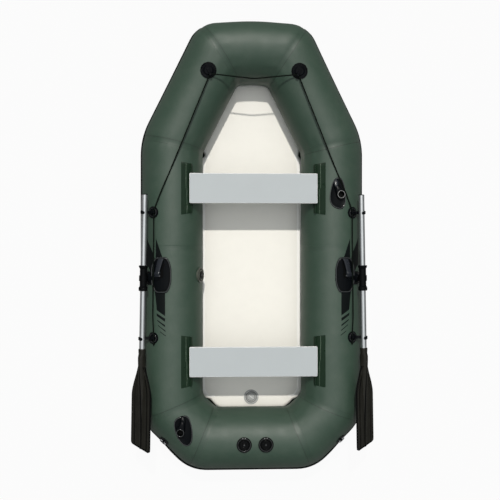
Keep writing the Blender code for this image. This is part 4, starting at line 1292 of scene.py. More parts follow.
@dataclass
class Tubes:
    """The two inflated chambers with their welded seams.

    Attributes:
        lines: Path of the tube.
        around: Faces round the tube.
        grain_step: Distance between cross-sections.
        pinch: How much a seam draws the tube in.
        pinch_width: How far from the seam it does so.
        pucker: Height of the creases beside a mitre.
        pucker_width: How wide the creases reach.
        tape_half: Half width of a seam tape.
        tape_height: Thickness of a seam tape.
    """

    lines: HullLines
    around: int = 120
    grain_step: float = 0.0125
    pinch: float = 0.0022
    pinch_width: float = 0.016
    pucker: float = 0.0014
    pucker_width: float = 0.030
    tape_half: float = 0.0140
    tape_height: float = 0.0007

    def seams(self) -> list[Seam]:
        """Place on the path, a plan point and the plan direction across each seam.

        Returns:
            The seams.
        """
        found = []
        for k in range(1, 9):
            across = self.lines.bisector(k)
            found.append((2.0 * k + 0.5, self.lines.corners[k], Vector((across.y, -across.x))))
        for side in Side:
            centre = Vector((side.value * self.lines.side_x, self.lines.split_y))
            found.append((self.lines.side_place(side, self.lines.split_y), centre, Vector((0.0, -side.value))))
        return found

    def relief(self, point: Vector, angle: float) -> float:
        """How far the skin stands out of the plain round tube.

        Args:
            point: Point on the plain tube.
            angle: Radians round the tube.

        Returns:
            The height in metres.
        """
        total = 0.0
        flat = Vector((point.x, point.y))
        for place, centre, across in self.seam_list:
            if (flat - centre).length > 0.30:
                continue
            away = abs((flat - centre).dot(across))
            if away > 0.14:
                continue
            mitre, aft = place % 1.0 == 0.5, 0.6 if 6.0 < place < 13.0 else 1.0
            depth = (self.pinch if mitre else self.pinch * 0.35) * aft
            total -= depth * math.exp(-((away / self.pinch_width) ** 2))
            if mitre:
                inner = max(0.0, -math.cos(angle)) ** 1.5
                fade = math.exp(-(((away - self.pucker_width) / self.pucker_width) ** 2)) * (0.25 + 0.75 * inner)
                total += self.pucker * (fade * aft) * math.sin(17.0 * angle + 4.0 * place)
        return total + math.sin(6.3 * point.x + 2.0) * math.sin(4.9 * point.y + 0.7) * 0.0004

    def stations(self, low: float, high: float) -> list[float]:
        """Places of the cross-sections between two places on the path.

        Args:
            low: Place where they start.
            high: Place where they end.

        Returns:
            The places.
        """
        found = [low]
        u = low
        while u < high - 1e-9:
            whole = math.floor(u + 1e-9)
            if int(whole) % 2 == 0:
                step = 1.0 / 14.0
            else:
                k = (int(whole) % 18) // 2
                length = (self.lines.corners[(k + 1) % 9] - self.lines.corners[k]).length
                step = 1.0 / max(3, math.ceil(length / self.grain_step))
            part = round((u - whole) / step) + 1
            u = min(whole + part * step, whole + 1.0, high)
            found.append(u)
        return found

    def chamber(self, name: str, low: float, high: float) -> Piece:
        """Make one chamber.

        Args:
            name: Object's name.
            low: Place where it starts.
            high: Place where it ends.

        Returns:
            The chamber's skin.
        """
        rows, lengths = [], []
        run = 0.0
        before = None
        for u in self.stations(low, high):
            middle = self.lines.plan(u, 0.0)
            run += 0.0 if before is None else (middle - before).length
            before = middle
            lengths.append(run)
            row = []
            for i in range(self.around):
                angle = math.tau * i / self.around
                plain = self.lines.surface(u, angle)
                row.append(self.lines.surface(u, angle, self.relief(plain, angle)))
            rows.append(row)
        made = new_piece(name, *skin(rows, True, True), "hull")
        layer = made.data.uv_layers.new(name="metres")
        ring = self.around
        for polygon in made.data.polygons:
            columns = [v % ring for v in polygon.vertices]
            wraps = max(columns) - min(columns) > ring // 2
            for loop, vertex, column in zip(polygon.loop_indices, polygon.vertices, columns):
                turn = ring if wraps and column == 0 else column
                layer.data[loop].uv = (lengths[vertex // ring], math.tau * self.lines.radius * turn / ring)
        return face_outwards(made)

    def tape(self, seam: Seam, half: float) -> Piece:
        """Make the welded tape over one seam.

        Args:
            seam: Place, plan point and direction across.
            half: Half width of the tape.

        Returns:
            The tape.
        """
        place, centre, across = seam
        mitre = place % 1.0 == 0.5
        reach = 0.5 if mitre else 0.04
        profile = [(-1.0, -0.0004), (-0.965, self.tape_height * 0.9), (-0.5, self.tape_height), (0.0, self.tape_height)]
        profile += [(-a, h) for a, h in reversed(profile[:-1])]
        samples = [place - reach + 2.0 * reach * i / 48.0 for i in range(49)]
        rows = []
        for i in range(self.around + 1):
            angle = math.tau * (i % self.around) / self.around
            skins = [self.lines.surface(u, angle) for u in samples]
            distances = [(Vector((p.x, p.y)) - centre).dot(across) for p in skins]
            sway = 0.004 * math.sin(angle) ** 2 * (1.0 if mitre else 0.0)
            row = []
            for share, height in profile:
                u = float(np.interp(share * half + sway, distances, samples))
                plain = self.lines.surface(u, angle)
                row.append(self.lines.surface(u, angle, self.relief(plain, angle) + height))
            rows.append(row)
        made = new_piece("tape", *skin(rows), "tape", 40.0)
        layer = made.data.uv_layers.new(name="metres")
        size = len(profile)
        for polygon in made.data.polygons:
            for loop, vertex in zip(polygon.loop_indices, polygon.vertices):
                row, column = divmod(vertex, size)
                layer.data[loop].uv = (profile[column][0] * half, math.tau * self.lines.radius * row / self.around)
        return self.turn_out(made)

    def turn_out(self, made: Piece) -> Piece:
        """Turn an open band's faces away from the tube's centreline.

        Args:
            made: Band to mend.

        Returns:
            The same object.
        """
        mesh = made.data
        score = 0.0
        for number in range(0, len(mesh.polygons), max(1, len(mesh.polygons) // 60)):
            polygon = mesh.polygons[number]
            centre = polygon.center
            near = min(
                (self.lines.plan(u / 4.0, 0.0) for u in range(72)),
                key=lambda p: (p.x - centre.x) ** 2 + (p.y - centre.y) ** 2,
            )
            out = Vector((centre.x - near.x, centre.y - near.y, centre.z - self.lines.centre_z))
            score += polygon.normal.dot(out)
        if score < 0.0:
            mesh.flip_normals()
        return made

    def build(self) -> list[Piece]:
        """Make both chambers and all seam tapes.

        Returns:
            The pieces.
        """
        self.seam_list = self.seams()
        left, right = (self.lines.side_place(side, self.lines.split_y) for side in Side)
        made = []
        for end, low, high in (("bow", left, right + 18.0), ("stern", right, left)):
            made.append(settle(self.chamber(f"{end}_chamber", low, high), "hull", Slot.HULL, f"tube_{end}"))
        tapes = [self.tape(seam, self.tape_half * (1.0 if seam[0] % 1.0 == 0.5 else 0.8)) for seam in self.seam_list]
        return made + [settle(join_meshes("seam_tapes", tapes), "hull", Slot.HULL)]


@dataclass
class Stripes:
    """Black printed shapes beside the oarlocks, as places along the boat and degrees round the tube."""

    lines: HullLines
    height: float = 0.0003
    shapes: tuple[Pairs, ...] = (
        ((0.043, 60.0), (-0.053, 59.3), (-0.053, 73.2)),
        ((0.048, 35.5), (-0.021, 51.4), (-0.051, 56.4), (-0.140, 56.4), (-0.125, 47.0), (-0.100, 41.0), (-0.087, 34.0)),
        ((-0.215, 57.0), (-0.215, 78.3), (-0.3473, 78.3), (-0.317, 61.7), (-0.259, 59.5)),
        ((-0.3328, 61.2), (-0.3599, 78.2), (-0.3753, 78.0), (-0.3466, 62.0)),
        ((-0.3655, 62.6), (-0.3927, 78.2), (-0.4022, 78.2), (-0.3713, 63.0)),
        ((-0.3914, 64.0), (-0.4201, 79.0), (-0.4259, 78.8), (-0.3954, 64.3)),
        ((-0.4235, 68.4), (-0.4450, 79.6), (-0.4490, 79.4), (-0.4275, 68.4)),
    )

    def film(self, shape: Pairs, side: Side, relief: Tubes | None, paint: str = "print_ink") -> Piece:
        """Lay one shape on the tube as a thin film.

        Args:
            shape: Corners as (y, degrees).
            side: Which side.
            relief: Tubes whose relief the film follows, or None over a moulded pad.
            paint: Name of its finish.

        Returns:
            The film.
        """
        turn = math.radians(1.0) * self.lines.radius
        border = []
        for i, (y, degrees) in enumerate(shape):
            other = shape[(i + 1) % len(shape)]
            span = math.hypot(other[0] - y, (other[1] - degrees) * turn)
            steps = max(1, math.ceil(span / 0.006))
            for s in range(steps):
                t = s / steps
                border.append((y + (other[0] - y) * t, (degrees + (other[1] - degrees) * t) * turn))
        inside = []
        y = min(p[0] for p in border) + 0.003
        while y < max(p[0] for p in border):
            a = min(p[1] for p in border) + 0.003
            while a < max(p[1] for p in border):
                inside.append((y, a))
                a += 0.006
            y += 0.006
        flat, triangles = net([Vector(p) for p in border], [Vector(p) for p in inside], 1e-6)
        verts = []
        for p in flat:
            degrees = p.y / turn
            rise = self.height
            if relief is not None:
                over = relief.tape_height if abs(p.x - self.lines.split_y) < relief.tape_half else 0.0
                rise += relief.relief(self.lines.side_point(side, p.x, degrees), math.radians(degrees)) + over
            verts.append(self.lines.side_point(side, p.x, degrees, rise))
        return face_level(new_piece("film", verts, triangles, paint))

    def build(self, tubes: Tubes) -> list[Piece]:
        """Make the stripes of both sides.

        Args:
            tubes: Tubes that carry them.

        Returns:
            The pieces.
        """
        made = []
        for side in Side:
            films = [self.film(shape, side, tubes) for shape in self.shapes]
            made.append(settle(join_meshes(f"printed_stripes_{side.word}", films), "hull", Slot.HULL))
        return made


@dataclass
class AirFloor:
    """Inflated drop-stitch floor with its rim tape.

    Attributes:
        lines: Hull that holds it.
        crown: How far the middle stands above the edge.
        wave: Height of the slow unevenness.
        tape_reach: How far the rim tape comes in over the top.
        tape_height: Thickness of the rim tape.
        tuck: How far the panel draws back at a corner of depth 1.
        round_edge: Radius of the rounded edge.
        tucks: Place, reach and depth of each drawn-back corner.
    """

    lines: HullLines
    crown: float = 0.0016
    wave: float = 0.0005
    tape_reach: float = 0.031
    tape_height: float = 0.0007
    tuck: float = 0.0130
    round_edge: float = 0.014
    tucks: tuple[tuple[float, float, float], ...] = (
        (4.5, 0.62, 1.45), (14.5, 0.62, 2.0), (7.9, 1.35, 1.0), (11.1, 1.35, 1.45),
    )

    def height(self, x: float, y: float, inset: float) -> float:
        """Level of the top face.

        Args:
            x: Distance across the boat.
            y: Distance along the boat.
            inset: Distance from the edge.

        Returns:
            Height above the ground.
        """
        swell = self.crown * (1.0 - math.exp(-inset / 0.05)) - self.crown * 0.4
        ripple = self.wave * math.sin(9.0 * x + 1.0) * math.sin(6.1 * y + 0.4)
        ripple += 0.5 * self.wave * math.sin(21.0 * x + 13.0 * y)
        return self.lines.floor_top + swell + ripple * min(1.0, inset / 0.05) + self.lines.rise(y)

    def build(self) -> list[Piece]:
        """Make the floor panel and its rim tape.

        Returns:
            The pieces.
        """
        lines = self.lines
        low = lines.skin + lines.gap
        edge = math.sqrt(lines.radius ** 2 - (lines.centre_z - lines.floor_top) ** 2) + 0.004
        rows = [
            [Vector((p.x, p.y, drop(p))) for p in self.sampled(-edge - inset)]
            for inset, drop in self.profile(self.round_edge, low)
        ]
        verts, faces = skin(rows, True)
        size = len(rows[-1])
        base = len(verts) - size
        points, triangles = self.fill(rows[-1], edge)
        verts += points
        faces += [tuple(base + i for i in triangle) for triangle in triangles]
        faces.append(tuple(range(size - 1, -1, -1)))
        panel = face_outwards(new_piece("air_floor_panel", verts, faces, "floor", 50.0))
        settle(panel, "hull", Slot.FLOOR, "air_floor")
        return [panel, self.rim_tape(edge, self.round_edge, low)]

    def profile(self, radius: float, low: float) -> list[tuple[float, object]]:
        """Rings of the panel from the bottom edge up to the flat of the top.

        Args:
            radius: Radius of the rounded edge.
            low: Level of the underside.

        Returns:
            Inset of each ring and a function for its height.
        """
        rise = self.lines.rise
        rings = []
        for i in range(5):
            a = math.radians(-90.0 + 22.5 * i)
            inset, level = radius * (1.0 - math.cos(a)), low + radius * (1.0 + math.sin(a))
            rings.append((inset, lambda p, z=level: z + rise(p.y)))
        for i in range(6):
            a = math.radians(18.0 * i)
            inset = radius * (1.0 - math.cos(a))
            sink = radius * (1.0 - math.sin(a))
            rings.append((inset, lambda p, s=sink, n=inset: self.height(p.x, p.y, n) - s))
        for inset in (0.020, 0.028, 0.036, 0.044):
            rings.append((inset, lambda p, n=inset: self.height(p.x, p.y, n)))
        return rings

    def sampled(self, offset: float, ease: float = 0.0) -> list[Vector]:
        """Outline with extra points on its straight runs.

        Args:
            offset: Offset from the tubes' middle line.
            ease: Shift back toward the tubes ahead of the side tubes.

        Returns:
            The points.
        """
        points = []
        for k in range(9):
            base = (self.lines.corners[(k + 1) % 9] - self.lines.corners[k]).length
            steps = max(2, math.ceil(base / 0.025))
            places = [2.0 * k + i / 6.0 for i in range(7)]
            places += [2.0 * k + 1.0 + i / steps for i in range(1, steps)]
            for u in places:
                depth = self.tuck * self.tucked(u) - ease * self.forward(u)
                points.append(self.lines.plan(u, offset - depth))
        return points

    @staticmethod
    def forward(u: float) -> float:
        """How far forward of the side tubes a place lies, as a share up to 1."""
        return unit(5.0 - min(u, 19.0 - u))

    def tucked(self, u: float) -> float:
        """How much the panel draws back from the tube at a place on the path.

        Args:
            u: Place on the path.

        Returns:
            Share of the tuck.
        """
        total = 0.0
        for middle, reach, depth in self.tucks:
            away = abs(u - middle)
            if away < reach:
                total += depth * (0.5 + 0.5 * math.cos(math.pi * away / reach))
        return min(2.0, total)

    def fill(self, rim: list[Vector], edge: float) -> tuple[list[Vector], Faces]:
        """Cover the inside of the last ring with an even net.

        Args:
            rim: Last ring of the edge.
            edge: Offset of the panel's edge.

        Returns:
            Points inside the rim, and triangles over the rim's points and these.
        """
        flat = [Vector((p.x, p.y)) for p in rim]
        step = 0.016
        inner = []
        outline = self.sampled(-edge - 0.052)
        y = min(p.y for p in outline)
        while y < max(p.y for p in outline):
            met = crossings(outline, y)
            x = met[0] if len(met) >= 2 else math.inf
            while met and x < met[-1]:
                inner.append(Vector((x, y)))
                x += step
            y += step
        points, triangles = net(flat, inner, 1e-7)
        return [Vector((p.x, p.y, self.height(p.x, p.y, 0.08))) for p in points[len(rim):]], triangles

    def rim_tape(self, edge: float, radius: float, low: float) -> Piece:
        """Make the tape that wraps the panel's edge.

        Args:
            edge: Offset of the panel's edge.
            radius: Radius of the rounded edge.
            low: Level of the underside.

        Returns:
            The tape.
        """
        lift = self.tape_height
        rows = []
        aft = self.lines.aft_y + 0.055

        def sunk(p: Vector) -> float:
            """How far the tape dips into the panel across the stern."""
            return 0.0014 * unit((aft - p.y) / 0.03)

        for degrees in (0, 18, 36, 54, 72, 90):
            out, up = math.cos(math.radians(degrees)), math.sin(math.radians(degrees))
            inset, sink = radius * (1.0 - out), radius * (1.0 - up)
            ring = self.sampled(-edge - inset + lift * out)
            rows.append([Vector((p.x, p.y, self.height(p.x, p.y, inset) - sink + lift * up - sunk(p))) for p in ring])
        reach = self.tape_reach
        for inset, up in ((0.018, lift), (0.024, lift), (reach - 0.001, lift), (reach, -0.0003)):
            ring = self.sampled(-edge - inset, 0.9 * (inset - radius))
            rows.append([Vector((p.x, p.y, self.height(p.x, p.y, inset) + up - sunk(p))) for p in ring])
        first = self.sampled(-edge + lift)
        levels = (low + radius, low + radius * 2.0)
        wall = [[Vector((p.x, p.y, level + self.lines.rise(p.y))) for p in first] for level in levels]
        # The rim tape's brighter finish is a painted highlight along the floor's edge.
        made = new_piece("floor_rim_tape", *skin(wall + rows, True), "floor_tape", 50.0)
        return settle(face_level(made), "hull", Slot.FLOOR)


@dataclass
class BottomSheet:
    """Heavy fabric under the floor, glued up round the tubes, with three wear strips."""

    lines: HullLines
    reach: float = 0.070
    strip_width: float = 0.042
    strip_gap: float = 0.150

    def build(self) -> list[Piece]:
        """Make the sheet and its wear strips.

        Returns:
            The pieces.
        """
        lines = self.lines
        rows = []
        level = 0.0012
        for offset in (self.reach, 0.060, 0.048, 0.036, 0.022, 0.0, -0.03, -0.07, -0.11):
            ring = AirFloor(lines).sampled(offset)
            row = []
            for p in ring:
                up = lines.centre_z - math.sqrt(max(0.0, lines.radius ** 2 - max(0.0, offset) ** 2))
                z = max(level, up - 0.0014) if offset > 0.0 else level
                row.append(Vector((p.x, p.y, z + lines.rise(p.y))))
            rows.append(row)
        verts, faces = skin(rows, True)
        flat = [Vector((p.x, p.y)) for p in rows[-1]]
        spots = [Vector((i * 0.045, j * 0.045)) for i in range(-4, 5) for j in range(-20, 22)]
        points, triangles = net(flat, [spot for spot in spots if self.holds(flat, spot)], 1e-7)
        base = len(verts) - len(flat)
        verts += [Vector((p.x, p.y, level + lines.rise(p.y))) for p in points[len(flat):]]
        faces += [tuple(base + i for i in reversed(t)) for t in triangles]
        made = face_level(new_piece("bottom_sheet", verts, faces, "bottom", 50.0), -1.0)
        box = [max(v[i] for v in verts) - min(v[i] for v in verts) for i in range(2)]
        settle(made, "hull", Slot.BOTTOM, "bottom_skin")
        half = self.strip_width / 2.0
        profile = [(-half, level), (-half + 0.002, 0.0003), (0.0, 0.0001), (half - 0.002, 0.0003), (half, level)]
        strips = []
        for x in (-self.strip_gap, 0.0, self.strip_gap):
            rows = []
            for i in range(48):
                y = -0.80 + 1.42 * i / 47.0
                rows.append([Vector((x + dx, y, lines.rise(y) + dz)) for dx, dz in profile])
            strips.append(face_level(new_piece("wear_strip", *skin(rows), "rubber", 40.0), -1.0))
        return [made, settle(join_meshes("bottom_wear_strips", strips), "hull", Slot.RUBBER)]

    @staticmethod
    def holds(ring: list[Vector], spot: Vector) -> bool:
        """Whether a plan point lies well inside a ring."""
        inside = sum(spot.x < x for x in crossings(ring, spot.y)) % 2 == 1
        return inside and min((p - spot).length for p in ring) > 0.02


@dataclass
class Strake:
    """Ribbed rubbing strake round the sides and stern."""

    lines: HullLines
    half: Pairs = (
        (-10.4, -0.0004), (-10.0, 0.0012), (-8.8, 0.0034), (-7.6, 0.0036), (-7.0, 0.0028), (-6.2, 0.0028),
        (-5.4, 0.0046), (-4.0, 0.0050), (-3.2, 0.0040), (-2.4, 0.0040), (-1.4, 0.0057), (0.0, 0.0060),
    )

    @staticmethod
    def swell(u: float) -> float:
        """Thickness at a place on the path, thin at the ends and heavy across the stern.

        Args:
            u: Place on the path.

        Returns:
            Share of the full thickness.
        """
        ends = min(1.0, 0.25 + 0.75 * min(u - 2.5, 16.5 - u) / 0.35)
        stern = unit((2.15 - abs(u - 9.5)) / 0.4)
        return ends + 0.95 * stern

    def build(self, tubes: Tubes) -> list[Piece]:
        """Make the strake.

        Args:
            tubes: Tubes that carry it.

        Returns:
            The pieces.
        """
        ends = (2.5, 16.5)
        profile = [*self.half, *((-a, h) for a, h in self.half[-2::-1])]
        rows = [
            [self.lines.surface(u, math.radians(a), h * self.swell(u)) for a, h in profile]
            for u in tubes.stations(*ends)[::2]
        ]
        first, last = ([self.lines.surface(u, math.radians(a), -0.0004) for a, _ in profile] for u in ends)
        made = new_piece("rubbing_strake", *skin([first, *rows, last]), "strake", 60.0)
        return [settle(tubes.turn_out(made), "hull", Slot.RUBBER, "rub_strake")]


# Benches


@dataclass
class Bench:
    """A sliding board whose rounded edges are painted white as a painted highlight, and the welded rails that it runs
    on.

    Attributes:
        lines: Hull that carries it.
        place: Word in the names, front or rear.
        middle: Distance of its middle along the boat.
    """

    lines: HullLines
    place: str
    middle: float
    width: float = 0.151
    thickness: float = 0.016
    overhang: float = 0.0087
    rail_length: float = 0.256
    bead_radius: float = 0.004
    bead_angle: float = 126.0
    bead_height: float = 0.010
    welt_angles: tuple[float, float] = (117.0, 118.9)

    def bead(self) -> Vector:
        """Place of the bead in a cross-section, from the tube's centre.

        Returns:
            The place.
        """
        reach = self.lines.radius + self.bead_height
        angle = math.radians(self.bead_angle)
        return Vector((reach * math.cos(angle), reach * math.sin(angle)))

    def board(self) -> Piece:
        """Make the board with rounded edges all round, painted white as a painted highlight.

        Returns:
            The board.
        """
        bead = self.bead()
        half_x = self.lines.side_x + bead.x + self.overhang
        half_y = self.width / 2.0
        low = self.lines.centre_z + bead.y + self.bead_radius + 0.0036 + self.lines.gap
        high = low + self.thickness
        edge, corner = 0.0022, 0.006
        levels = [(low, 0.0015), (low + 0.0008, 0.0004), (low + 0.002, 0.0), (high - 0.0025, 0.0)]
        levels += [(high - 0.0010, 0.0005), (high - 0.0003, 0.0014), (high, edge), (high, edge + 0.0012)]
        rows = []
        for z, inset in levels:
            row = []
            r, back = corner - min(inset, 0.003), max(0.0, inset - 0.003)
            for sx, sy, start in ((1, 1, 0), (-1, 1, 90), (-1, -1, 180), (1, -1, 270)):
                for i in range(7):
                    a = math.radians(start + 15.0 * i)
                    x = sx * (half_x - corner) + r * math.cos(a) - sx * back
                    y = sy * (half_y - corner) + r * math.sin(a) - sy * back
                    row.append(Vector((x, y + self.middle, z)))
            rows.append(row)
        made = new_piece(f"bench_{self.place}_panel", *skin(rows, True, True), "board", 50.0)
        # Faces at the board's rounded edges get the white finish: a painted highlight.
        made.data.materials.append(paint_of("edge_highlight_white"))
        for polygon in made.data.polygons:
            centre = polygon.center
            outer = max(abs(centre.x) - half_x + edge, abs(centre.y - self.middle) - half_y + edge) > -0.0002
            polygon.material_index = 1 if outer else 0
        return settle(face_outwards(made), f"bench_{self.place}", Slot.BOARD, f"bench_{self.place}_board")

    def rail(self, side: Side) -> list[Piece]:
        """Make a rail: two ribbed flanges, the bead and the glossy welt, whose beads are painted lighter as a painted
        highlight.

        Args:
            side: Which side.

        Returns:
            The pieces.
        """
        half = self.rail_length / 2.0
        profile = [(107.6, -0.0003), (108.0, 0.0012)]
        angle = 108.5
        while angle < 131.5:
            profile += [(angle, 0.0014), (angle + 0.35, 0.0024), (angle + 0.75, 0.0024), (angle + 1.10, 0.0014)]
            angle += 1.55
        profile += [(132.0, 0.0012), (132.4, -0.0003)]
        rows = []
        for i in range(33):
            y = self.middle - half + self.rail_length * i / 32.0
            lift = -0.0012 if i in (0, 32) else 0.0
            slant = {0: 1.0, 1: 1.0, 31: -1.0, 32: -1.0}.get(i, 0.0)
            row = []
            for degrees, height in profile:
                bend = 0.0015 * math.sin(31.0 * y + degrees)
                skew = 0.010 * (degrees - 120.0) / 24.0 * slant
                row.append(self.lines.side_point(side, y + skew, degrees, height + lift + bend * 0.1))
            rows.append(row)
        strip = face_level(new_piece("strip", *skin(rows), "rail", 50.0))
        bead = self.bead()
        angle = math.radians(self.bead_angle)
        normal = Vector((math.cos(angle), math.sin(angle)))
        across = Vector((-normal.y, normal.x))
        outline = []
        for i in range(13):
            a = angle + math.pi + math.radians(30.0 + 25.0 * i)
            outline.append(bead + Vector((math.cos(a), math.sin(a))) * self.bead_radius)
        outline.append(normal * (self.lines.radius + 0.001) - across * 0.0019)
        outline.insert(0, normal * (self.lines.radius + 0.001) + across * 0.0019)
        rows = []
        for i in range(13):
            y = self.middle - half + 0.003 + (self.rail_length - 0.006) * i / 12.0
            z = self.lines.centre_z + self.lines.rise(y)
            rows.append([Vector((side.value * (self.lines.side_x + p.x), y, z + p.y)) for p in outline])
        joined = join_meshes(f"seat_rail_{self.place}_{side.word}_strip", [strip, shell("web", rows, "rail")])
        joined.data.shade_smooth()
        joined.data.set_sharp_from_angle(angle=math.radians(50.0))
        settle(joined, "hull", Slot.RAIL, f"seat_rail_{self.place}_{side.word}")
        rows = []
        for number, (share, degrees) in enumerate(zip((0.25, -0.25), self.welt_angles)):
            spot = self.lines.side_point(side, self.middle + self.rail_length * share, degrees, 0.0022)
            seed = 7 + 4 * number + int(side.value)
            beads = RowOfBeads(34 - 8 * number, self.rail_length * 0.47, 0.0017, seed)
            rows.append(beads.build(f"welt_{number}", "welt", Matrix.Translation(spot)))
        welt = join_meshes(f"seat_rail_{self.place}_{side.word}_welt", rows)
        welt.data.shade_smooth()
        settle(welt, "hull", Slot.RAIL)
        return [joined, welt]

    def build(self) -> list[Piece]:
        """Make the board and both rails.

        Returns:
            The pieces.
        """
        made = [self.board()]
        for side in Side:
            made += self.rail(side)
        return made


# Oars


@dataclass
class Oar:
    """Finely moulded blade of an oar and the rings on its collar.

    Attributes:
        lines: Hull beside which the oar is stowed.
    """

    lines: HullLines
    standoff: float = 0.050
    elevation: float = 47.1
    lean: float = 30.0
    rest_yaw: float = 1.15
    pivot: float = -0.0683
    neck: float = 0.0175
    blade_start: float = 0.1541
    blade_end: float = 0.3800
    blade_width: float = 0.136
    tip_slant: float = 0.037
    grooves: Pairs = ((-0.64, 0.045), (-0.08, 0.045), (0.64, 0.045))

    def frame(self) -> Matrix:
        """Frame of the stowed right-hand oar: X to the blade, Y to its outer edge.

        Returns:
            The frame.
        """
        angle = math.radians(self.elevation)
        reach = self.lines.radius + self.standoff
        spot = Vector((
            self.lines.side_x + reach * math.cos(angle), self.lines.length * self.pivot,
            self.lines.centre_z + reach * math.sin(angle),
        ))
        axis = Vector((math.sin(math.radians(self.lean)), 0.0, math.cos(math.radians(self.lean))))
        x = Vector((0.0, -1.0, 0.0))
        z = Vector((math.cos(angle), 0.0, math.sin(angle)))
        base = Matrix((x, z.cross(x), z)).transposed().to_4x4()
        yaw = Matrix.Rotation(math.radians(self.rest_yaw), 4, axis)
        return Matrix.Translation(spot) @ yaw @ base

    def half_width(self, part: float) -> float:
        """Half the blade's width at a part of its length.

        Args:
            part: Part of the blade's length.

        Returns:
            The half width.
        """
        grow = unit((part - 0.10) / 0.36)
        grow = grow * grow * (3.0 - 2.0 * grow)
        half = self.neck + 0.0015 + (self.blade_width / 2.0 - self.neck - 0.0015) * grow
        tip = unit((1.0 - part) / 0.050)
        return half * (1.0 - 0.30 * (1.0 - math.sqrt(1.0 - (1.0 - tip) ** 2)))

    def thickness(self, part: float, w: float) -> float:
        """Half the blade's thickness at a point.

        Args:
            part: Part of the blade's length.
            w: Distance from the middle line.

        Returns:
            The height above the middle plane.
        """
        half = self.half_width(part)
        fade = unit((part - 0.12) / 0.80)
        crown = self.neck * (1.0 - fade) ** 1.3 + 0.0048
        spine = self.neck * (1.0 - 0.62 * unit((part - 0.10) / 0.75))
        away = unit((abs(w) - spine) / max(1e-6, half - spine))
        if abs(w) <= spine:
            return max(0.0026, crown * math.sqrt(max(0.0, 1.0 - (abs(w) / spine) ** 2)))
        marks = (0.0, 0.10, 0.16, 0.36, 0.40, 0.48, 0.52, 0.76, 0.82, 0.95, 0.985, 1.0)
        levels = (0.0026, 0.0024, 0.0022, 0.0022, 0.0040, 0.0040, 0.0022, 0.0022, 0.0045, 0.0045, 0.0030, 0.0012)
        height = float(np.interp(away, marks, levels))
        if part > 0.965:
            end = (part - 0.965) / 0.035
            height = height + (0.0045 - height) * min(1.0, end * 4.0)
            height *= math.sqrt(max(0.06, 1.0 - max(0.0, end - 0.6) ** 2 / 0.17))
        return min(height, crown + 0.001)

    def blade(self) -> Piece:
        """Make the right-hand blade.

        Returns:
            The blade.
        """
        start = self.lines.length * self.blade_start
        end = self.lines.length * self.blade_end
        parts = [0.0, 0.006, 0.02, 0.05] + [0.08 + 0.875 * i / 56.0 for i in range(57)]
        parts += [0.9585, 0.964, 0.970, 0.978, 0.986, 0.992, 0.996, 1.0]
        shares = [-1.0, -0.995, -0.98, -0.955, -0.93, -0.90, -0.87]
        shares += [-0.84 + 1.68 * i / 40.0 for i in range(41)]
        shares += [0.87, 0.90, 0.93, 0.955, 0.98, 0.995, 1.0]
        rows = []
        for part in parts:
            half = self.half_width(part)
            top = []
            for share in shares:
                w = share * half
                slant = -self.tip_slant * (w / self.blade_width + 0.5) * unit((part - 0.45) / 0.55)
                x = start + (end - start) * part + slant
                if part <= 0.05:
                    radius = self.neck + (0.0012 if part in (0.006, 0.02) else 0.0)
                    a = math.pi / 2.0 * (1.0 - share)
                    w, h = radius * math.cos(a), radius * math.sin(a)
                else:
                    h = self.thickness(part, w)
                top.append(Vector((x, w, h)))
            rows.append(top + [Vector((p.x, p.y, -p.z)) for p in reversed(top)])
        made = new_piece("oar_right_blade_moulding", *skin(rows, True, True), "blade", 42.0)
        # Grooves, rim and tip of the blade take the near-black finish as painted shade of its ribs and edges.
        made.data.materials.append(paint_of("groove"))
        width = len(shares)
        size = 2 * width
        for polygon in made.data.polygons:
            columns = [v % size for v in polygon.vertices]
            row = min(v // size for v in polygon.vertices)
            if len(columns) > 4 or parts[row] < 0.16:
                continue
            spot = sum(shares[c if c < width else size - 1 - c] for c in columns) / len(columns)
            groove = any(abs(spot - middle) < half for middle, half in self.grooves)
            polygon.material_index = 1 if groove or abs(spot) > 0.915 or parts[row] > 0.974 else 0
        face_outwards(made)
        made.data.transform(self.frame())
        return made

    def build(self) -> list[Piece]:
        """Make both blades and the grip rings of both collars.

        Returns:
            The pieces.
        """
        blade = self.blade()
        twin = mirrored(blade, "oar_left_blade_moulding")
        settle(blade, "oar_right", Slot.PLASTIC, "oar_right_blade")
        settle(twin, "oar_left", Slot.PLASTIC, "oar_left_blade")
        made = [blade, twin]
        for side in Side:
            turn = Matrix.Rotation(math.pi / 2.0, 4, "Y")
            lugs = [RingOfLugs(16, 0.0222, 0.0018, 0.0034, 0.0068, along) for along in (-0.0605, 0.0535)]
            rings = [ring.build("collar_ring", "plastic", self.frame() @ turn) for ring in lugs]
            joined = join_meshes(f"oar_{side.word}_collar_grip", rings)
            joined.data.shade_smooth()
            if side is Side.LEFT:
                swap_sides(joined)
            made.append(settle(joined, f"oar_{side.word}", Slot.PLASTIC))
        return made


# Lifeline


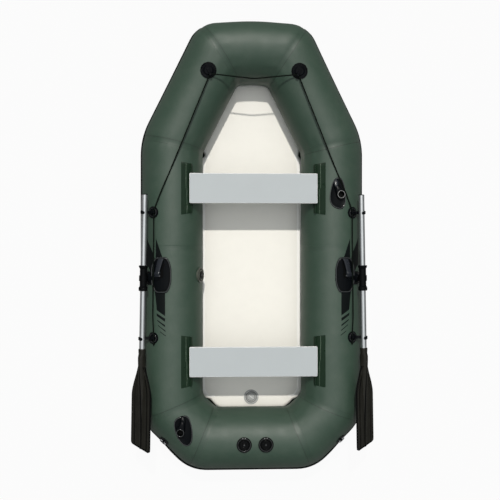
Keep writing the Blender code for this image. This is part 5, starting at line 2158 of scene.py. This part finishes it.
@dataclass
class Lifeline:
    """Braided line from keeper to keeper round the bow.

    Attributes:
        lines: Hull that it runs along.
    """

    lines: HullLines
    radius: float = 0.0037
    angle: float = 57.6
    height: float = 0.0105
    keeper_front: float = 0.0757
    keeper_rear: float = -0.1995
    pivot: float = -0.0683
    holder: float = 0.1164
    off_tube: float = 0.0009
    eye_distance: float = 0.115
    eye_height: float = 0.0158
    eye_turn: float = 30.0
    eye_shift: tuple[float, float] = (0.0150, -0.0190)
    slack: float = 0.009

    def on_side(self, y: float, outward: float = 0.0) -> Vector:
        """Point of the line on the right-hand side, moved outward by some degrees."""
        return self.lines.side_point(Side.RIGHT, y, self.angle - outward, self.height)

    def clear_of_tube(self, point: Vector, height: float) -> Vector:
        """Push a point out of the tube.

        Args:
            point: Point of the line.
            height: Least distance from the tube's surface.

        Returns:
            The point, moved out where it was too near.
        """
        best = None
        corners = self.lines.corners
        for k in range(9):
            a, b = corners[k], corners[(k + 1) % 9]
            span = b - a
            flat = Vector((point.x, point.y))
            part = unit((flat - a).dot(span) / span.length_squared)
            near = a + span * part
            spot = Vector((near.x, near.y, self.lines.centre_z + self.lines.rise(near.y)))
            if best is None or (point - spot).length < (point - best).length:
                best = spot
        reach = point - best
        least = self.lines.radius + height
        return point if reach.length >= least else best + reach.normalized() * least

    def right_half(self) -> list[Vector]:
        """Points of the right-hand half, from the aft end to the middle of the bow.

        Returns:
            The points.
        """
        length = self.lines.length
        rear, front = length * self.keeper_rear, length * self.keeper_front
        points = [self.on_side(rear - 0.036), self.on_side(rear - 0.016), self.on_side(rear + 0.016)]
        points += [self.on_side(rear + 0.10, 2.0), self.on_side(length * self.pivot, 1.0)]
        points += [self.on_side(front + reach) for reach in (-0.10, -0.016, 0.008)]
        shift = Matrix.Translation(Vector((*self.eye_shift, self.eye_height)))
        turn = Matrix.Rotation(math.radians(self.eye_turn), 4, "Z")
        eye = self.lines.run_frame(1, self.eye_distance, 90.5) @ shift @ turn
        eye_in, eye_out = sorted((eye @ Vector((s, 0.0, 0.0)) for s in (-0.007, 0.007)), key=lambda p: p.y)
        start = points[-1]
        for i in range(1, 14):
            point = start + (eye_in - start) * (i / 14.0)
            over = 0.0088 if abs(point.y - length * self.holder) < 0.090 else self.radius + self.off_tube
            over += self.slack * math.sin(math.pi * unit((i - 4.0) / 9.0))
            points.append(self.clear_of_tube(point, over))
        points += [eye_in, eye_out]
        middle = self.clear_of_tube(Vector((0.0, eye_out.y - 0.022, eye_out.z - 0.004)), self.radius + self.off_tube)
        for part in (0.25, 0.5, 0.75):
            points.append(self.clear_of_tube(eye_out + (middle - eye_out) * part, self.radius + self.off_tube))
        points.append(middle)
        return points

    @staticmethod
    def smooth(points: list[Vector]) -> list[Vector]:
        """Round off every bend of a line of points.

        Args:
            points: Points of the line.

        Returns:
            The rounder line.
        """
        result = [points[0]]
        for before, here, after in zip(points, points[1:], points[2:]):
            back, ahead = before - here, after - here
            if math.pi - back.angle(ahead) < 0.05:
                result.append(here)
                continue
            reach = min(0.45 * back.length, 0.45 * ahead.length, 0.020)
            start, end = here + back.normalized() * reach, here + ahead.normalized() * reach
            for s in range(9):
                t = s / 8.0
                result.append(start * (1 - t) ** 2 + here * 2 * t * (1 - t) + end * t * t)
        result.append(points[-1])
        return result

    def build(self) -> list[Piece]:
        """Braid the line and tie its end knots.

        Returns:
            The pieces.
        """
        right = self.right_half()
        left = [Vector((-p.x, p.y, p.z)) for p in reversed(right[:-1])]
        points = self.smooth(right + left)
        cord = Braid(self.radius).build(curve_of("lifeline_path", points), "rope")
        core = wire("core", points, self.radius * 0.70, "rope")
        knots = [self.knot(end, (start - end).normalized()) for end, start in (points[:2], points[:-3:-1])]
        joined = join_meshes("lifeline_cord", [cord, core] + knots)
        joined.data.shade_smooth()
        return [settle(joined, "hull", Slot.CORD, "lifeline")]

    def knot(self, end: Vector, way: Vector) -> Piece:
        """Make an overhand knot near an end.

        Args:
            end: End of the line.
            way: Direction from the end along the line.

        Returns:
            The knot.
        """
        side = way.cross(Vector((0.0, 0.0, 1.0))).normalized()
        up = side.cross(way)
        points = []
        for i in range(49):
            t = math.tau * i / 48.0
            a = (2.0 + math.cos(3.0 * t)) * math.cos(2.0 * t)
            b = (2.0 + math.cos(3.0 * t)) * math.sin(2.0 * t)
            c = math.sin(3.0 * t)
            middle = end + way * 0.008
            points.append(middle + side * (a * 0.0014) + up * (b * 0.0014) + way * (c * 0.0030))
        return wire("knot", points[:-1], self.radius * 0.62, "rope", True)


# Fittings


@dataclass
class Fittings:
    """Details on the moulded pads, valves, mounts and keepers."""

    lines: HullLines
    oar: Oar
    pad_length: float = 0.180
    pad_shape: Pairs = (
        (50.0, 0.42), (52.5, 0.62), (55.5, 0.80), (59.0, 0.94), (63.0, 1.00), (70.0, 1.00),
        (77.0, 1.00), (81.0, 0.975), (84.0, 0.88), (86.7, 0.72), (88.6, 0.52), (89.8, 0.31),
    )
    strap_shape: tuple[tuple[float, float, float, float], ...] = (
        (0.00, 70.6, 0.0062, 0.0160), (0.12, 69.8, 0.0070, 0.0165), (0.45, 66.6, 0.0080, 0.0155),
        (0.80, 63.8, 0.0092, 0.0150), (1.00, 62.6, 0.0082, 0.0160),
    )
    # Near-black film beside the pad's strap, as (y, degrees): a painted shadow.
    painted_shadow_shape: Pairs = (
        (-0.0771, 76.2), (-0.1003, 71.0), (-0.1274, 68.3), (-0.1541, 67.6), (-0.1590, 73.0),
        (-0.1405, 75.4), (-0.1159, 74.7), (-0.0887, 77.7),
    )
    plate_rings: Pairs = ((1.0, -0.010), (1.0, 0.0020), (0.975, 0.0034), (0.92, 0.0036), (0.90, 0.0026), (0.30, 0.0030))
    holder_mouth: tuple[float, float] = (0.003, 0.0125)
    holder_rings: tuple[tuple[float, float, float, float, float], ...] = (
        (-0.0040, 0.0225, -0.046, -0.008, 0.0150), (0.0100, 0.0222, -0.042, -0.007, 0.0115),
        (0.0175, 0.0214, -0.030, -0.002, 0.0100), (0.0215, 0.0205, -0.014, 0.006, 0.0120),
        (0.0215, 0.0150, 0.003, 0.0125, 0.0150), (0.0032, 0.0150, 0.003, 0.0125, 0.0150),
    )
    holder_shapes: dict[str, Pairs] = field(default_factory=lambda: {
        "rod_holder_front_trim": (
            (-0.085, -0.001), (-0.075, -0.0175), (-0.056, -0.028), (-0.030, -0.0355), (0.0, -0.0405),
            (0.028, -0.0415), (0.050, -0.036), (0.065, -0.023), (0.074, -0.007), (0.078, 0.010),
            (0.074, 0.025), (0.061, 0.036), (0.042, 0.0415), (0.017, 0.0420), (-0.008, 0.0405),
            (-0.034, 0.0370), (-0.058, 0.0310), (-0.077, 0.0205), (-0.0855, 0.009),
        ),
        "rod_holder_stern_trim": (
            (-0.072, -0.013), (-0.072, -0.029), (-0.060, -0.041), (-0.036, -0.0465), (0.004, -0.0470),
            (0.038, -0.042), (0.064, -0.033), (0.080, -0.019), (0.085, -0.003), (0.079, 0.014),
            (0.060, 0.028), (0.030, 0.038), (-0.006, 0.042), (-0.040, 0.040), (-0.060, 0.031),
            (-0.071, 0.012),
        ),
    })
    keepers: tuple[tuple[str, float], ...] = (("front", 0.0757), ("rear", -0.1995))
    # Body finish, then the painted highlight and painted shade finishes, of each valve colour.
    valve_paints: dict[str, tuple[str, str, str]] = field(default_factory=lambda: {
        "black": ("plastic", "edge", "groove"),
        "green": ("flange_green", "edge", "groove"),
        "grey": ("grey", "grey_light", "grey_painted_shade"),
    })

    def valve_frames(self) -> dict[str, tuple[Matrix, str, Slot]]:
        """Frame, colour set and slot of each screw valve.

        Returns:
            The three by each valve's name.
        """
        lines = self.lines
        middle = lines.stern_width / 2.0
        spot = Vector((0.0, lines.stern_y + lines.radius + 0.040, lines.floor_top + lines.gap))
        return {
            "stern_valve_right": (lines.run_frame(4, middle - 0.062, 86.5), "black", Slot.PLASTIC),
            "stern_valve_left": (lines.run_frame(4, middle + 0.048, 86.5), "black", Slot.PLASTIC),
            "side_valve": (lines.run_frame(6, lines.length * -0.0623 - lines.aft_y, 156.0), "green", Slot.PLASTIC),
            "floor_valve": (Matrix.Translation(spot), "grey", Slot.GREY),
        }

    def valves(self) -> list[Piece]:
        """Grip lugs, rings and a turning bar on each valve; light rings, knobs, bars and dots are painted highlight,
        dark rings and the green valve's cap painted shade.

        Returns:
            The pieces.
        """
        made = []
        for name, (place, colours, slot) in self.valve_frames().items():
            body, light, dark = self.valve_paints[colours]
            lugs = (
                RingOfLugs(28, 0.0262, 0.0014, 0.0028, 0.0042, 0.0044),
                RingOfLugs(4, 0.0345, 0.0040, 0.0090, 0.0020, 0.0052),
            )
            parts = [ring.build("lugs", body, place) for ring in lugs]
            # Rings of the valve: body colour, a light ring of painted highlight and dark rings of painted shade.
            parts += [hoop(*sizes, paint, place) for *sizes, paint in (
                (0.0372, 0.0014, 0.0040, body), (0.0318, 0.0013, 0.0046, light), (0.0282, 0.0012, 0.0033, dark),
                (0.0236, 0.0015, 0.0074, body), (0.0196, 0.0013, 0.0062, dark), (0.0112, 0.0010, 0.0080, body),
            )]
            if colours == "grey":
                bar = self.bar(0.036, 0.0056, 0.0030, light)
                turn = Matrix.Rotation(-0.7, 4, "Z")
                bar.data.transform(place @ Matrix.Translation(Vector((0.0, 0.0, 0.0066))) @ turn)
                parts.append(bar)
            else:
                knob = [(0.0, 0.0110), (0.0022, 0.0107), (0.0040, 0.0096), (0.0046, 0.0080), (0.0, 0.0080)]
                parts.append(lathe("knob", knob, light, place))
            # Two light dots on the fore side of a black valve's ring: painted glints.
            if colours == "black":
                glint_dot = [(0.0, 0.0068), (0.0014, 0.0066), (0.0024, 0.0058), (0.0026, 0.0040), (0.0, 0.0040)]
                for reach in (-0.0050, 0.0075):
                    spot = place @ Matrix.Translation(Vector((reach, -0.0335, 0.0)))
                    parts.append(lathe("glint_dot", glint_dot, "lip", spot))
            # Near-black cap of the green valve: painted shade.
            if colours == "green":
                cap = [(0.0, 0.0092), (0.0190, 0.0090), (0.0208, 0.0078), (0.0210, 0.0050), (0.0, 0.0050)]
                parts.append(lathe("cap", cap, "groove", place))
            made.append(settle(join_meshes(f"{name}_grip", parts), "hull", slot))
        return made

    @staticmethod
    def bar(length: float, width: float, height: float, paint: str) -> Piece:
        """Make a rounded bar along X.

        Args:
            length: Size along X.
            width: Size along Y.
            height: Size along Z.
            paint: Name of its finish.

        Returns:
            The bar, standing on Z = 0.
        """
        rows = []
        for z, inset in ((0.0, 0.0), (height * 0.6, 0.0), (height * 0.9, 0.0006), (height, 0.0016)):
            row = []
            for sign, start in ((1.0, -90.0), (-1.0, 90.0)):
                for i in range(9):
                    a = math.radians(start + 22.5 * i)
                    r = width / 2.0 - inset
                    row.append(Vector((sign * (length - width) / 2.0 + r * math.cos(a), r * math.sin(a), z)))
            rows.append(row)
        return shell("bar", rows, paint, 40.0)

    def pads(self) -> list[Piece]:
        """Moulded ribs on the bow eyes and rims on the keepers; the keepers' lighter rims are a painted highlight.

        Returns:
            The pieces.
        """
        made = []
        lines = self.lines
        eye = lines.run_frame(1, 0.115, 90.5)
        ribs = [RingOfLugs(12, 0.0320, 0.0085, 0.0022, 0.0016, 0.0044).build("ribs", "rubber", eye)]
        ribs.append(hoop(0.0386, 0.0012, 0.0034, "rubber", eye))
        made += self.pair(join_meshes("bow_eye_right_ribs", ribs), "bow_eye_left_ribs")
        for place, share in self.keepers:
            spot = lines.run_frame(2, lines.fore_y - lines.length * share, 54.0)
            ribs = [RingOfLugs(20, 0.0262, 0.0030, 0.0030, 0.0012, 0.0040).build("ribs", "rubber", spot)]
            # Lighter rim of the keeper: painted highlight.
            ribs.append(hoop(0.0212, 0.0012, 0.0042, "edge", spot))
            ribs.append(self.hook_end(share))
            made += self.pair(join_meshes(f"keeper_{place}_right_ribs", ribs), f"keeper_{place}_left_ribs")
        return made

    def hook_end(self, share: float) -> Piece:
        """Oval end of a keeper's hook, on the outer side of the stowed shaft.

        Args:
            share: Keeper's distance along the boat, as a share of the length.

        Returns:
            The end.
        """
        axis = self.oar.frame() @ Vector((self.lines.length * (self.oar.pivot - share) + 0.003, 0.0, 0.0))
        way = Vector((math.cos(math.radians(60.0)), 0.0, math.sin(math.radians(60.0))))
        z = way.to_track_quat("Z", "Y").to_matrix().to_4x4()
        stretch = Matrix.Diagonal(Vector((1.0, 1.45, 1.0, 1.0)))
        place = Matrix.Translation(axis + way * 0.0156) @ z @ stretch
        profile = [(0.0, 0.0064), (0.0034, 0.0059), (0.0063, 0.0042), (0.0079, 0.0018), (0.0081, 0.0), (0.0, 0.0)]
        return lathe("hook_end", profile, "rubber", place)

    def pad_path(self, inset: float, height: float) -> list[Vector]:
        """Closed path round the right-hand oarlock pad.

        Args:
            inset: Distance inside the pad's edge.
            height: Height over the tube.

        Returns:
            The path's points.
        """
        lines = self.lines
        middle = lines.length * self.oar.pivot + self.pad_length * 0.086
        half = self.pad_length / 2.0 - inset
        shrink = 1.0 - math.degrees(inset / lines.radius) / 20.0
        rows = [(70.0 + (degrees - 70.0) * shrink, half * reach) for degrees, reach in self.pad_shape]
        fore = [lines.side_point(Side.RIGHT, middle + reach, degrees, height) for degrees, reach in rows]
        aft = [lines.side_point(Side.RIGHT, middle - reach, degrees, height) for degrees, reach in reversed(rows)]
        return chamfered(fore + aft)

    def strap(self) -> Piece:
        """Softly rounded skin of the strap on the right-hand oarlock pad, painted lighter than the pad as a painted
        highlight.

        Returns:
            The skin.
        """
        lines = self.lines
        middle = lines.length * self.oar.pivot + self.pad_length * 0.086
        parts, angles, heights, halves = zip(*self.strap_shape)
        rows = []
        for i in range(33):
            part = i / 32.0
            swell = 0.0042 * math.exp(-((part - 0.84) / 0.085) ** 2)
            height = float(np.interp(part, parts, heights)) + 0.0008 + swell
            half = float(np.interp(part, parts, halves)) + 0.0004
            centre = math.radians(float(np.interp(part, parts, angles)))
            y = middle + self.pad_length * (0.455 - 0.50 * part)
            row = []
            for j in range(17):
                share = -1.0 + j / 8.0
                level = height * math.sqrt(max(0.0, 1.0 - abs(share) ** 5))
                angle = centre + half / lines.radius * share
                row.append(lines.side_point(Side.RIGHT, y, math.degrees(angle), 0.0013 + level))
            rows.append(row)
        return face_level(new_piece("strap", *skin(rows), "strap", 70.0))

    def oarlocks(self) -> list[Piece]:
        """Rim, inner line, painted shadow, strap and screw of each oarlock pad; the rim, screw and strap are painted
        lighter as painted highlight, the inner line and the shadow beside the strap near-black as painted shade.

        Returns:
            The pieces.
        """
        parts = [
            # Rim and screw painted lighter as painted highlight; inner line and the film beside the strap near-black as
            # painted shade.
            wire("rim", self.pad_path(0.0042, 0.0046), 0.0024, "edge", True),
            wire("shade_line", self.pad_path(0.0090, 0.0028), 0.0020, "groove", True),
            Stripes(self.lines, 0.0031).film(self.painted_shadow_shape, Side.RIGHT, None, "groove"),
            self.strap(),
        ]
        spot = self.lines.side_point(Side.RIGHT, -0.1460, 69.0, 0.0080)
        up = (spot - Vector((self.lines.side_x, spot.y, self.lines.centre_z))).to_track_quat("Z", "Y")
        head = [(0.0, 0.0026), (0.0020, 0.0024), (0.0036, 0.0012), (0.0038, -0.004), (0.0, -0.004)]
        parts.append(lathe("screw", head, "edge", Matrix.Translation(spot) @ up.to_matrix().to_4x4()))
        return self.pair(join_meshes("oarlock_pad_right_trim", parts), "oarlock_pad_left_trim")

    def holders(self) -> list[Piece]:
        """Plate, rim, mouth ring, bore, dome and shoulder of both rod mounts; the rim, ring and front shoulder are
        painted lighter as painted highlight, the bore near-black as painted shade.

        Returns:
            The pieces.
        """
        lines = self.lines
        made = []
        # Mouth ring finish, painted highlight on both mounts, and shoulder finish, painted highlight on the front mount
        # and plain rubber at the stern.
        for name, place, ring, paint in (
            ("rod_holder_front_trim", (2, lines.fore_y - lines.length * 0.1164, 85.0, 0.0), "lip", "strap"),
            ("rod_holder_stern_trim", (3, 0.106, 81.0, 33.5), "edge", "rubber"),
        ):
            shape = chamfered([Vector((x, y, 0.0)) for x, y in self.holder_shapes[name]], 3)
            rows = []
            for share, height in self.plate_rings:
                rows.append([lines.laid(place, p.x * share, p.y * share, height) for p in shape])
            path = [lines.laid(place, p.x * 0.945, p.y * 0.945, 0.0030) for p in shape]
            k, distance, degrees, twist = place
            here = lines.run_frame(k, distance, degrees, 0.0, twist)
            mouth = here @ Matrix.Translation(Vector((*self.holder_mouth, 0.0)))
            # Bore lined near-black as painted shade of the deep hole.
            cup = [(0.0, 0.0034), (0.0190, 0.0034), (0.0200, 0.0255), (0.0190, 0.0268), (0.0158, 0.0274)]
            cup += [(0.0143, 0.0040), (0.0, 0.0040)]
            joined = join_meshes(name, [
                shell("plate", rows, "rubber"), wire("rim", path, 0.0022, "edge", True),
                hoop(0.0180, 0.0017, 0.0270, ring, mouth), lathe("bore", cup, "groove", mouth),
                self.dome(here), self.shoulder(place, paint),
            ])
            if "stern" in name:
                swap_sides(joined)
            made.append(settle(joined, "hull", Slot.RUBBER, name.removesuffix("_trim")))
        return made

    def dome(self, here: Matrix) -> Piece:
        """Raised body of a rod mount, from its mouth to the low end ahead.

        Args:
            here: Frame of the mount.

        Returns:
            The body.
        """
        rows = []
        for height, radius, x, y, least in self.holder_rings:
            row = []
            for i in range(48):
                way = Vector((math.cos(math.tau * i / 48.0), math.sin(math.tau * i / 48.0)))
                big, small = Vector(self.holder_mouth) + way * radius, Vector((x, y)) + way * least
                spot = big if big.dot(way) > small.dot(way) else small
                row.append(here @ Vector((spot.x, spot.y, height)))
            rows.append(row)
        return shell("dome", rows, "rubber")

    def shoulder(self, place: Place, paint: str) -> Piece:
        """Sloping shoulder ahead of a rod mount's dome; on the front mount its lighter finish is a painted highlight.

        Args:
            place: Run, distance, degrees and twist of the mount.
            paint: Name of its finish.

        Returns:
            The shoulder.
        """
        rows = []
        for share, low, slope in ((1.0, 0.0030, 0.0), (1.0, 0.0060, 0.16), (0.92, 0.0076, 0.25), (0.80, 0.0082, 0.26)):
            row = []
            for i in range(24):
                a = math.tau * i / 24.0
                x, y = 0.0200 * share * math.cos(a), 0.0100 * share * math.sin(a)
                row.append(self.lines.laid(place, x - 0.054, y - 0.0100, low + slope * (x + 0.020)))
            rows.append(row)
        return shell("shoulder", rows, paint)

    def pair(self, right: Piece, left_name: str) -> list[Piece]:
        """Settle a right-hand piece and its twin on the hull, and give both."""
        left = mirrored(right, left_name)
        return [settle(right, "hull", Slot.RUBBER), settle(left, "hull", Slot.RUBBER)]

    def build(self) -> list[Piece]:
        """Make all details.

        Returns:
            The pieces.
        """
        return self.valves() + self.pads() + self.oarlocks() + self.holders()


class NodeFinishes:
    """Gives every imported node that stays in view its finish."""

    rules: tuple[tuple[str, str], ...] = (
        ("_shaft", "aluminium"), ("quarter_ring", "steel"), ("floor_valve", "grey"), ("side_valve", "flange_green"),
        ("_valve", "plastic"),
        ("_shoe_", "plastic"), ("_collar", "plastic"), ("_plug", "plastic"), ("_swivel", "plastic"),
        ("_blade", "blade"), ("_board", "board"), ("seat_rail", "rail"), ("air_floor", "floor"),
        ("bottom_skin", "bottom"), ("lifeline", "rope"), ("tube_", "hull"),
    )

    def build(self) -> list[Piece]:
        """Paint the nodes.

        Returns:
            The painted nodes.
        """
        for name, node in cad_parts.items():
            paint = next((finish for part, finish in self.rules if part in name), "rubber")
            for slot in node.material_slots:
                slot.material = paint_of(paint)
        return list(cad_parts.values())


# Studio


@dataclass
class Studio:
    """Pale floor, soft sky, one key lamp and the camera over the boat."""

    camera_place: tuple[float, float, float] = (-0.28084, -0.01654, 5.2)
    camera_turn: tuple[float, float, float] = (0.000177, -0.053641, 0.0)
    lens: float = 69.97
    key_strength: float = 2.42
    key_height: float = 61.0
    sky: tuple[tuple[float, float], ...] = (
        (0.0, 0.20), (0.10, 0.18), (0.34, 0.12), (0.56, 0.14), (0.78, 0.56), (1.0, 1.16),
    )

    def camera(self) -> None:
        """Place the camera."""
        data = bpy.data.cameras.new("camera")
        data.sensor_width = 36.0
        data.sensor_fit = "HORIZONTAL"
        data.lens = self.lens
        made = linked("camera", data)
        made.location = self.camera_place
        made.rotation_euler = self.camera_turn
        bpy.context.scene.camera = made

    def dome(self) -> None:
        """Make the soft sky, brightest overhead with a darker belt half-way down."""
        world = bpy.data.worlds.new("soft_sky")
        world.use_nodes = True
        bpy.context.scene.world = world
        graph = Graph(world.node_tree)
        shader = world.node_tree.nodes["Background"]
        parts = graph.add("ShaderNodeSeparateXYZ", {0: graph.add("ShaderNodeTexCoord").outputs["Generated"]})
        ramp = graph.add("ShaderNodeValToRGB", {0: parts.outputs["Z"]})
        stops = ramp.color_ramp.elements
        while len(stops) < len(self.sky):
            stops.new(0.5)
        for stop, (place_at, level) in zip(stops, self.sky):
            stop.position = place_at
            stop.color = (level, level, level, 1.0)
        graph.feed(shader.inputs["Strength"], ramp.outputs["Color"])
        shader.inputs["Color"].default_value = (0.97, 0.99, 1.0, 1.0)

    def key(self) -> None:
        """Hang the key lamp ahead of the bow."""
        data = bpy.data.lights.new("key_lamp", "SUN")
        data.energy = self.key_strength
        data.angle = math.radians(1.6)
        data.color = (1.0, 0.965, 0.91)
        made = linked("key_lamp", data)
        down = math.radians(self.key_height)
        way = Vector((0.03, -math.cos(down), -math.sin(down)))
        made.rotation_euler = way.to_track_quat("-Z", "Y").to_euler()
        made.location = (0.0, 4.0, 5.0)

    def floor(self) -> None:
        """Lay the pale floor, which shows white and keeps a faint shadow."""
        half = 14.0
        mesh = bpy.data.meshes.new("studio_floor")
        corners = [(-half, -half, 0.0), (half, -half, 0.0), (half, half, 0.0), (-half, half, 0.0)]
        mesh.from_pydata(corners, [], [(0, 1, 2, 3)])
        made = linked("studio_floor", mesh)
        made.location.z = -0.0005
        paint = bpy.data.materials.new("studio_white")
        paint.use_nodes = True
        graph = Graph(paint.node_tree)
        shader = paint.node_tree.nodes["Principled BSDF"]
        for label, value in {
            "Base Color": (0.30, 0.30, 0.30, 1.0), "Roughness": 0.9, "Specular IOR Level": 0.0,
        }.items():
            shader.inputs[label].default_value = value
        glow = graph.add("ShaderNodeEmission", {"Strength": 1.0})
        path = graph.add("ShaderNodeLightPath").outputs
        seen = graph.math("ADD", path["Is Camera Ray"], path["Is Transmission Ray"], clamp=True)
        mixer = graph.add("ShaderNodeMixShader", {0: graph.times(seen, 0.95), 1: shader, 2: glow})
        graph.feed(paint.node_tree.nodes["Material Output"].inputs["Surface"], mixer)
        mesh.materials.append(paint)

    def build(self) -> None:
        """Set up camera, light, floor and view."""
        self.camera()
        self.dome()
        self.key()
        self.floor()
        bpy.context.scene.view_settings.view_transform = "Standard"


def main() -> None:
    """Build the whole scene in order."""
    logging.basicConfig(level=logging.INFO, format="%(name)s: %(message)s")
    Studio().build()
    lines = HullLines()
    tubes = Tubes(lines)
    steps = [
        ("nodes", NodeFinishes().build),
        ("tubes", tubes.build),
        ("stripes", lambda: Stripes(lines).build(tubes)),
        ("floor", AirFloor(lines).build),
        ("bottom", BottomSheet(lines).build),
        ("strake", lambda: Strake(lines).build(tubes)),
        ("front bench", Bench(lines, "front", lines.length * 0.1283).build),
        ("rear bench", Bench(lines, "rear", lines.length * -0.2515).build),
        ("oars", Oar(lines).build),
        ("lifeline", Lifeline(lines).build),
        ("fittings", Fittings(lines, Oar(lines)).build),
    ]
    for label, make in steps:
        for piece in make():
            LOG.info("%s: %s, %d faces", label, piece.name, len(piece.data.polygons))


if __name__ == "__main__":
    main()
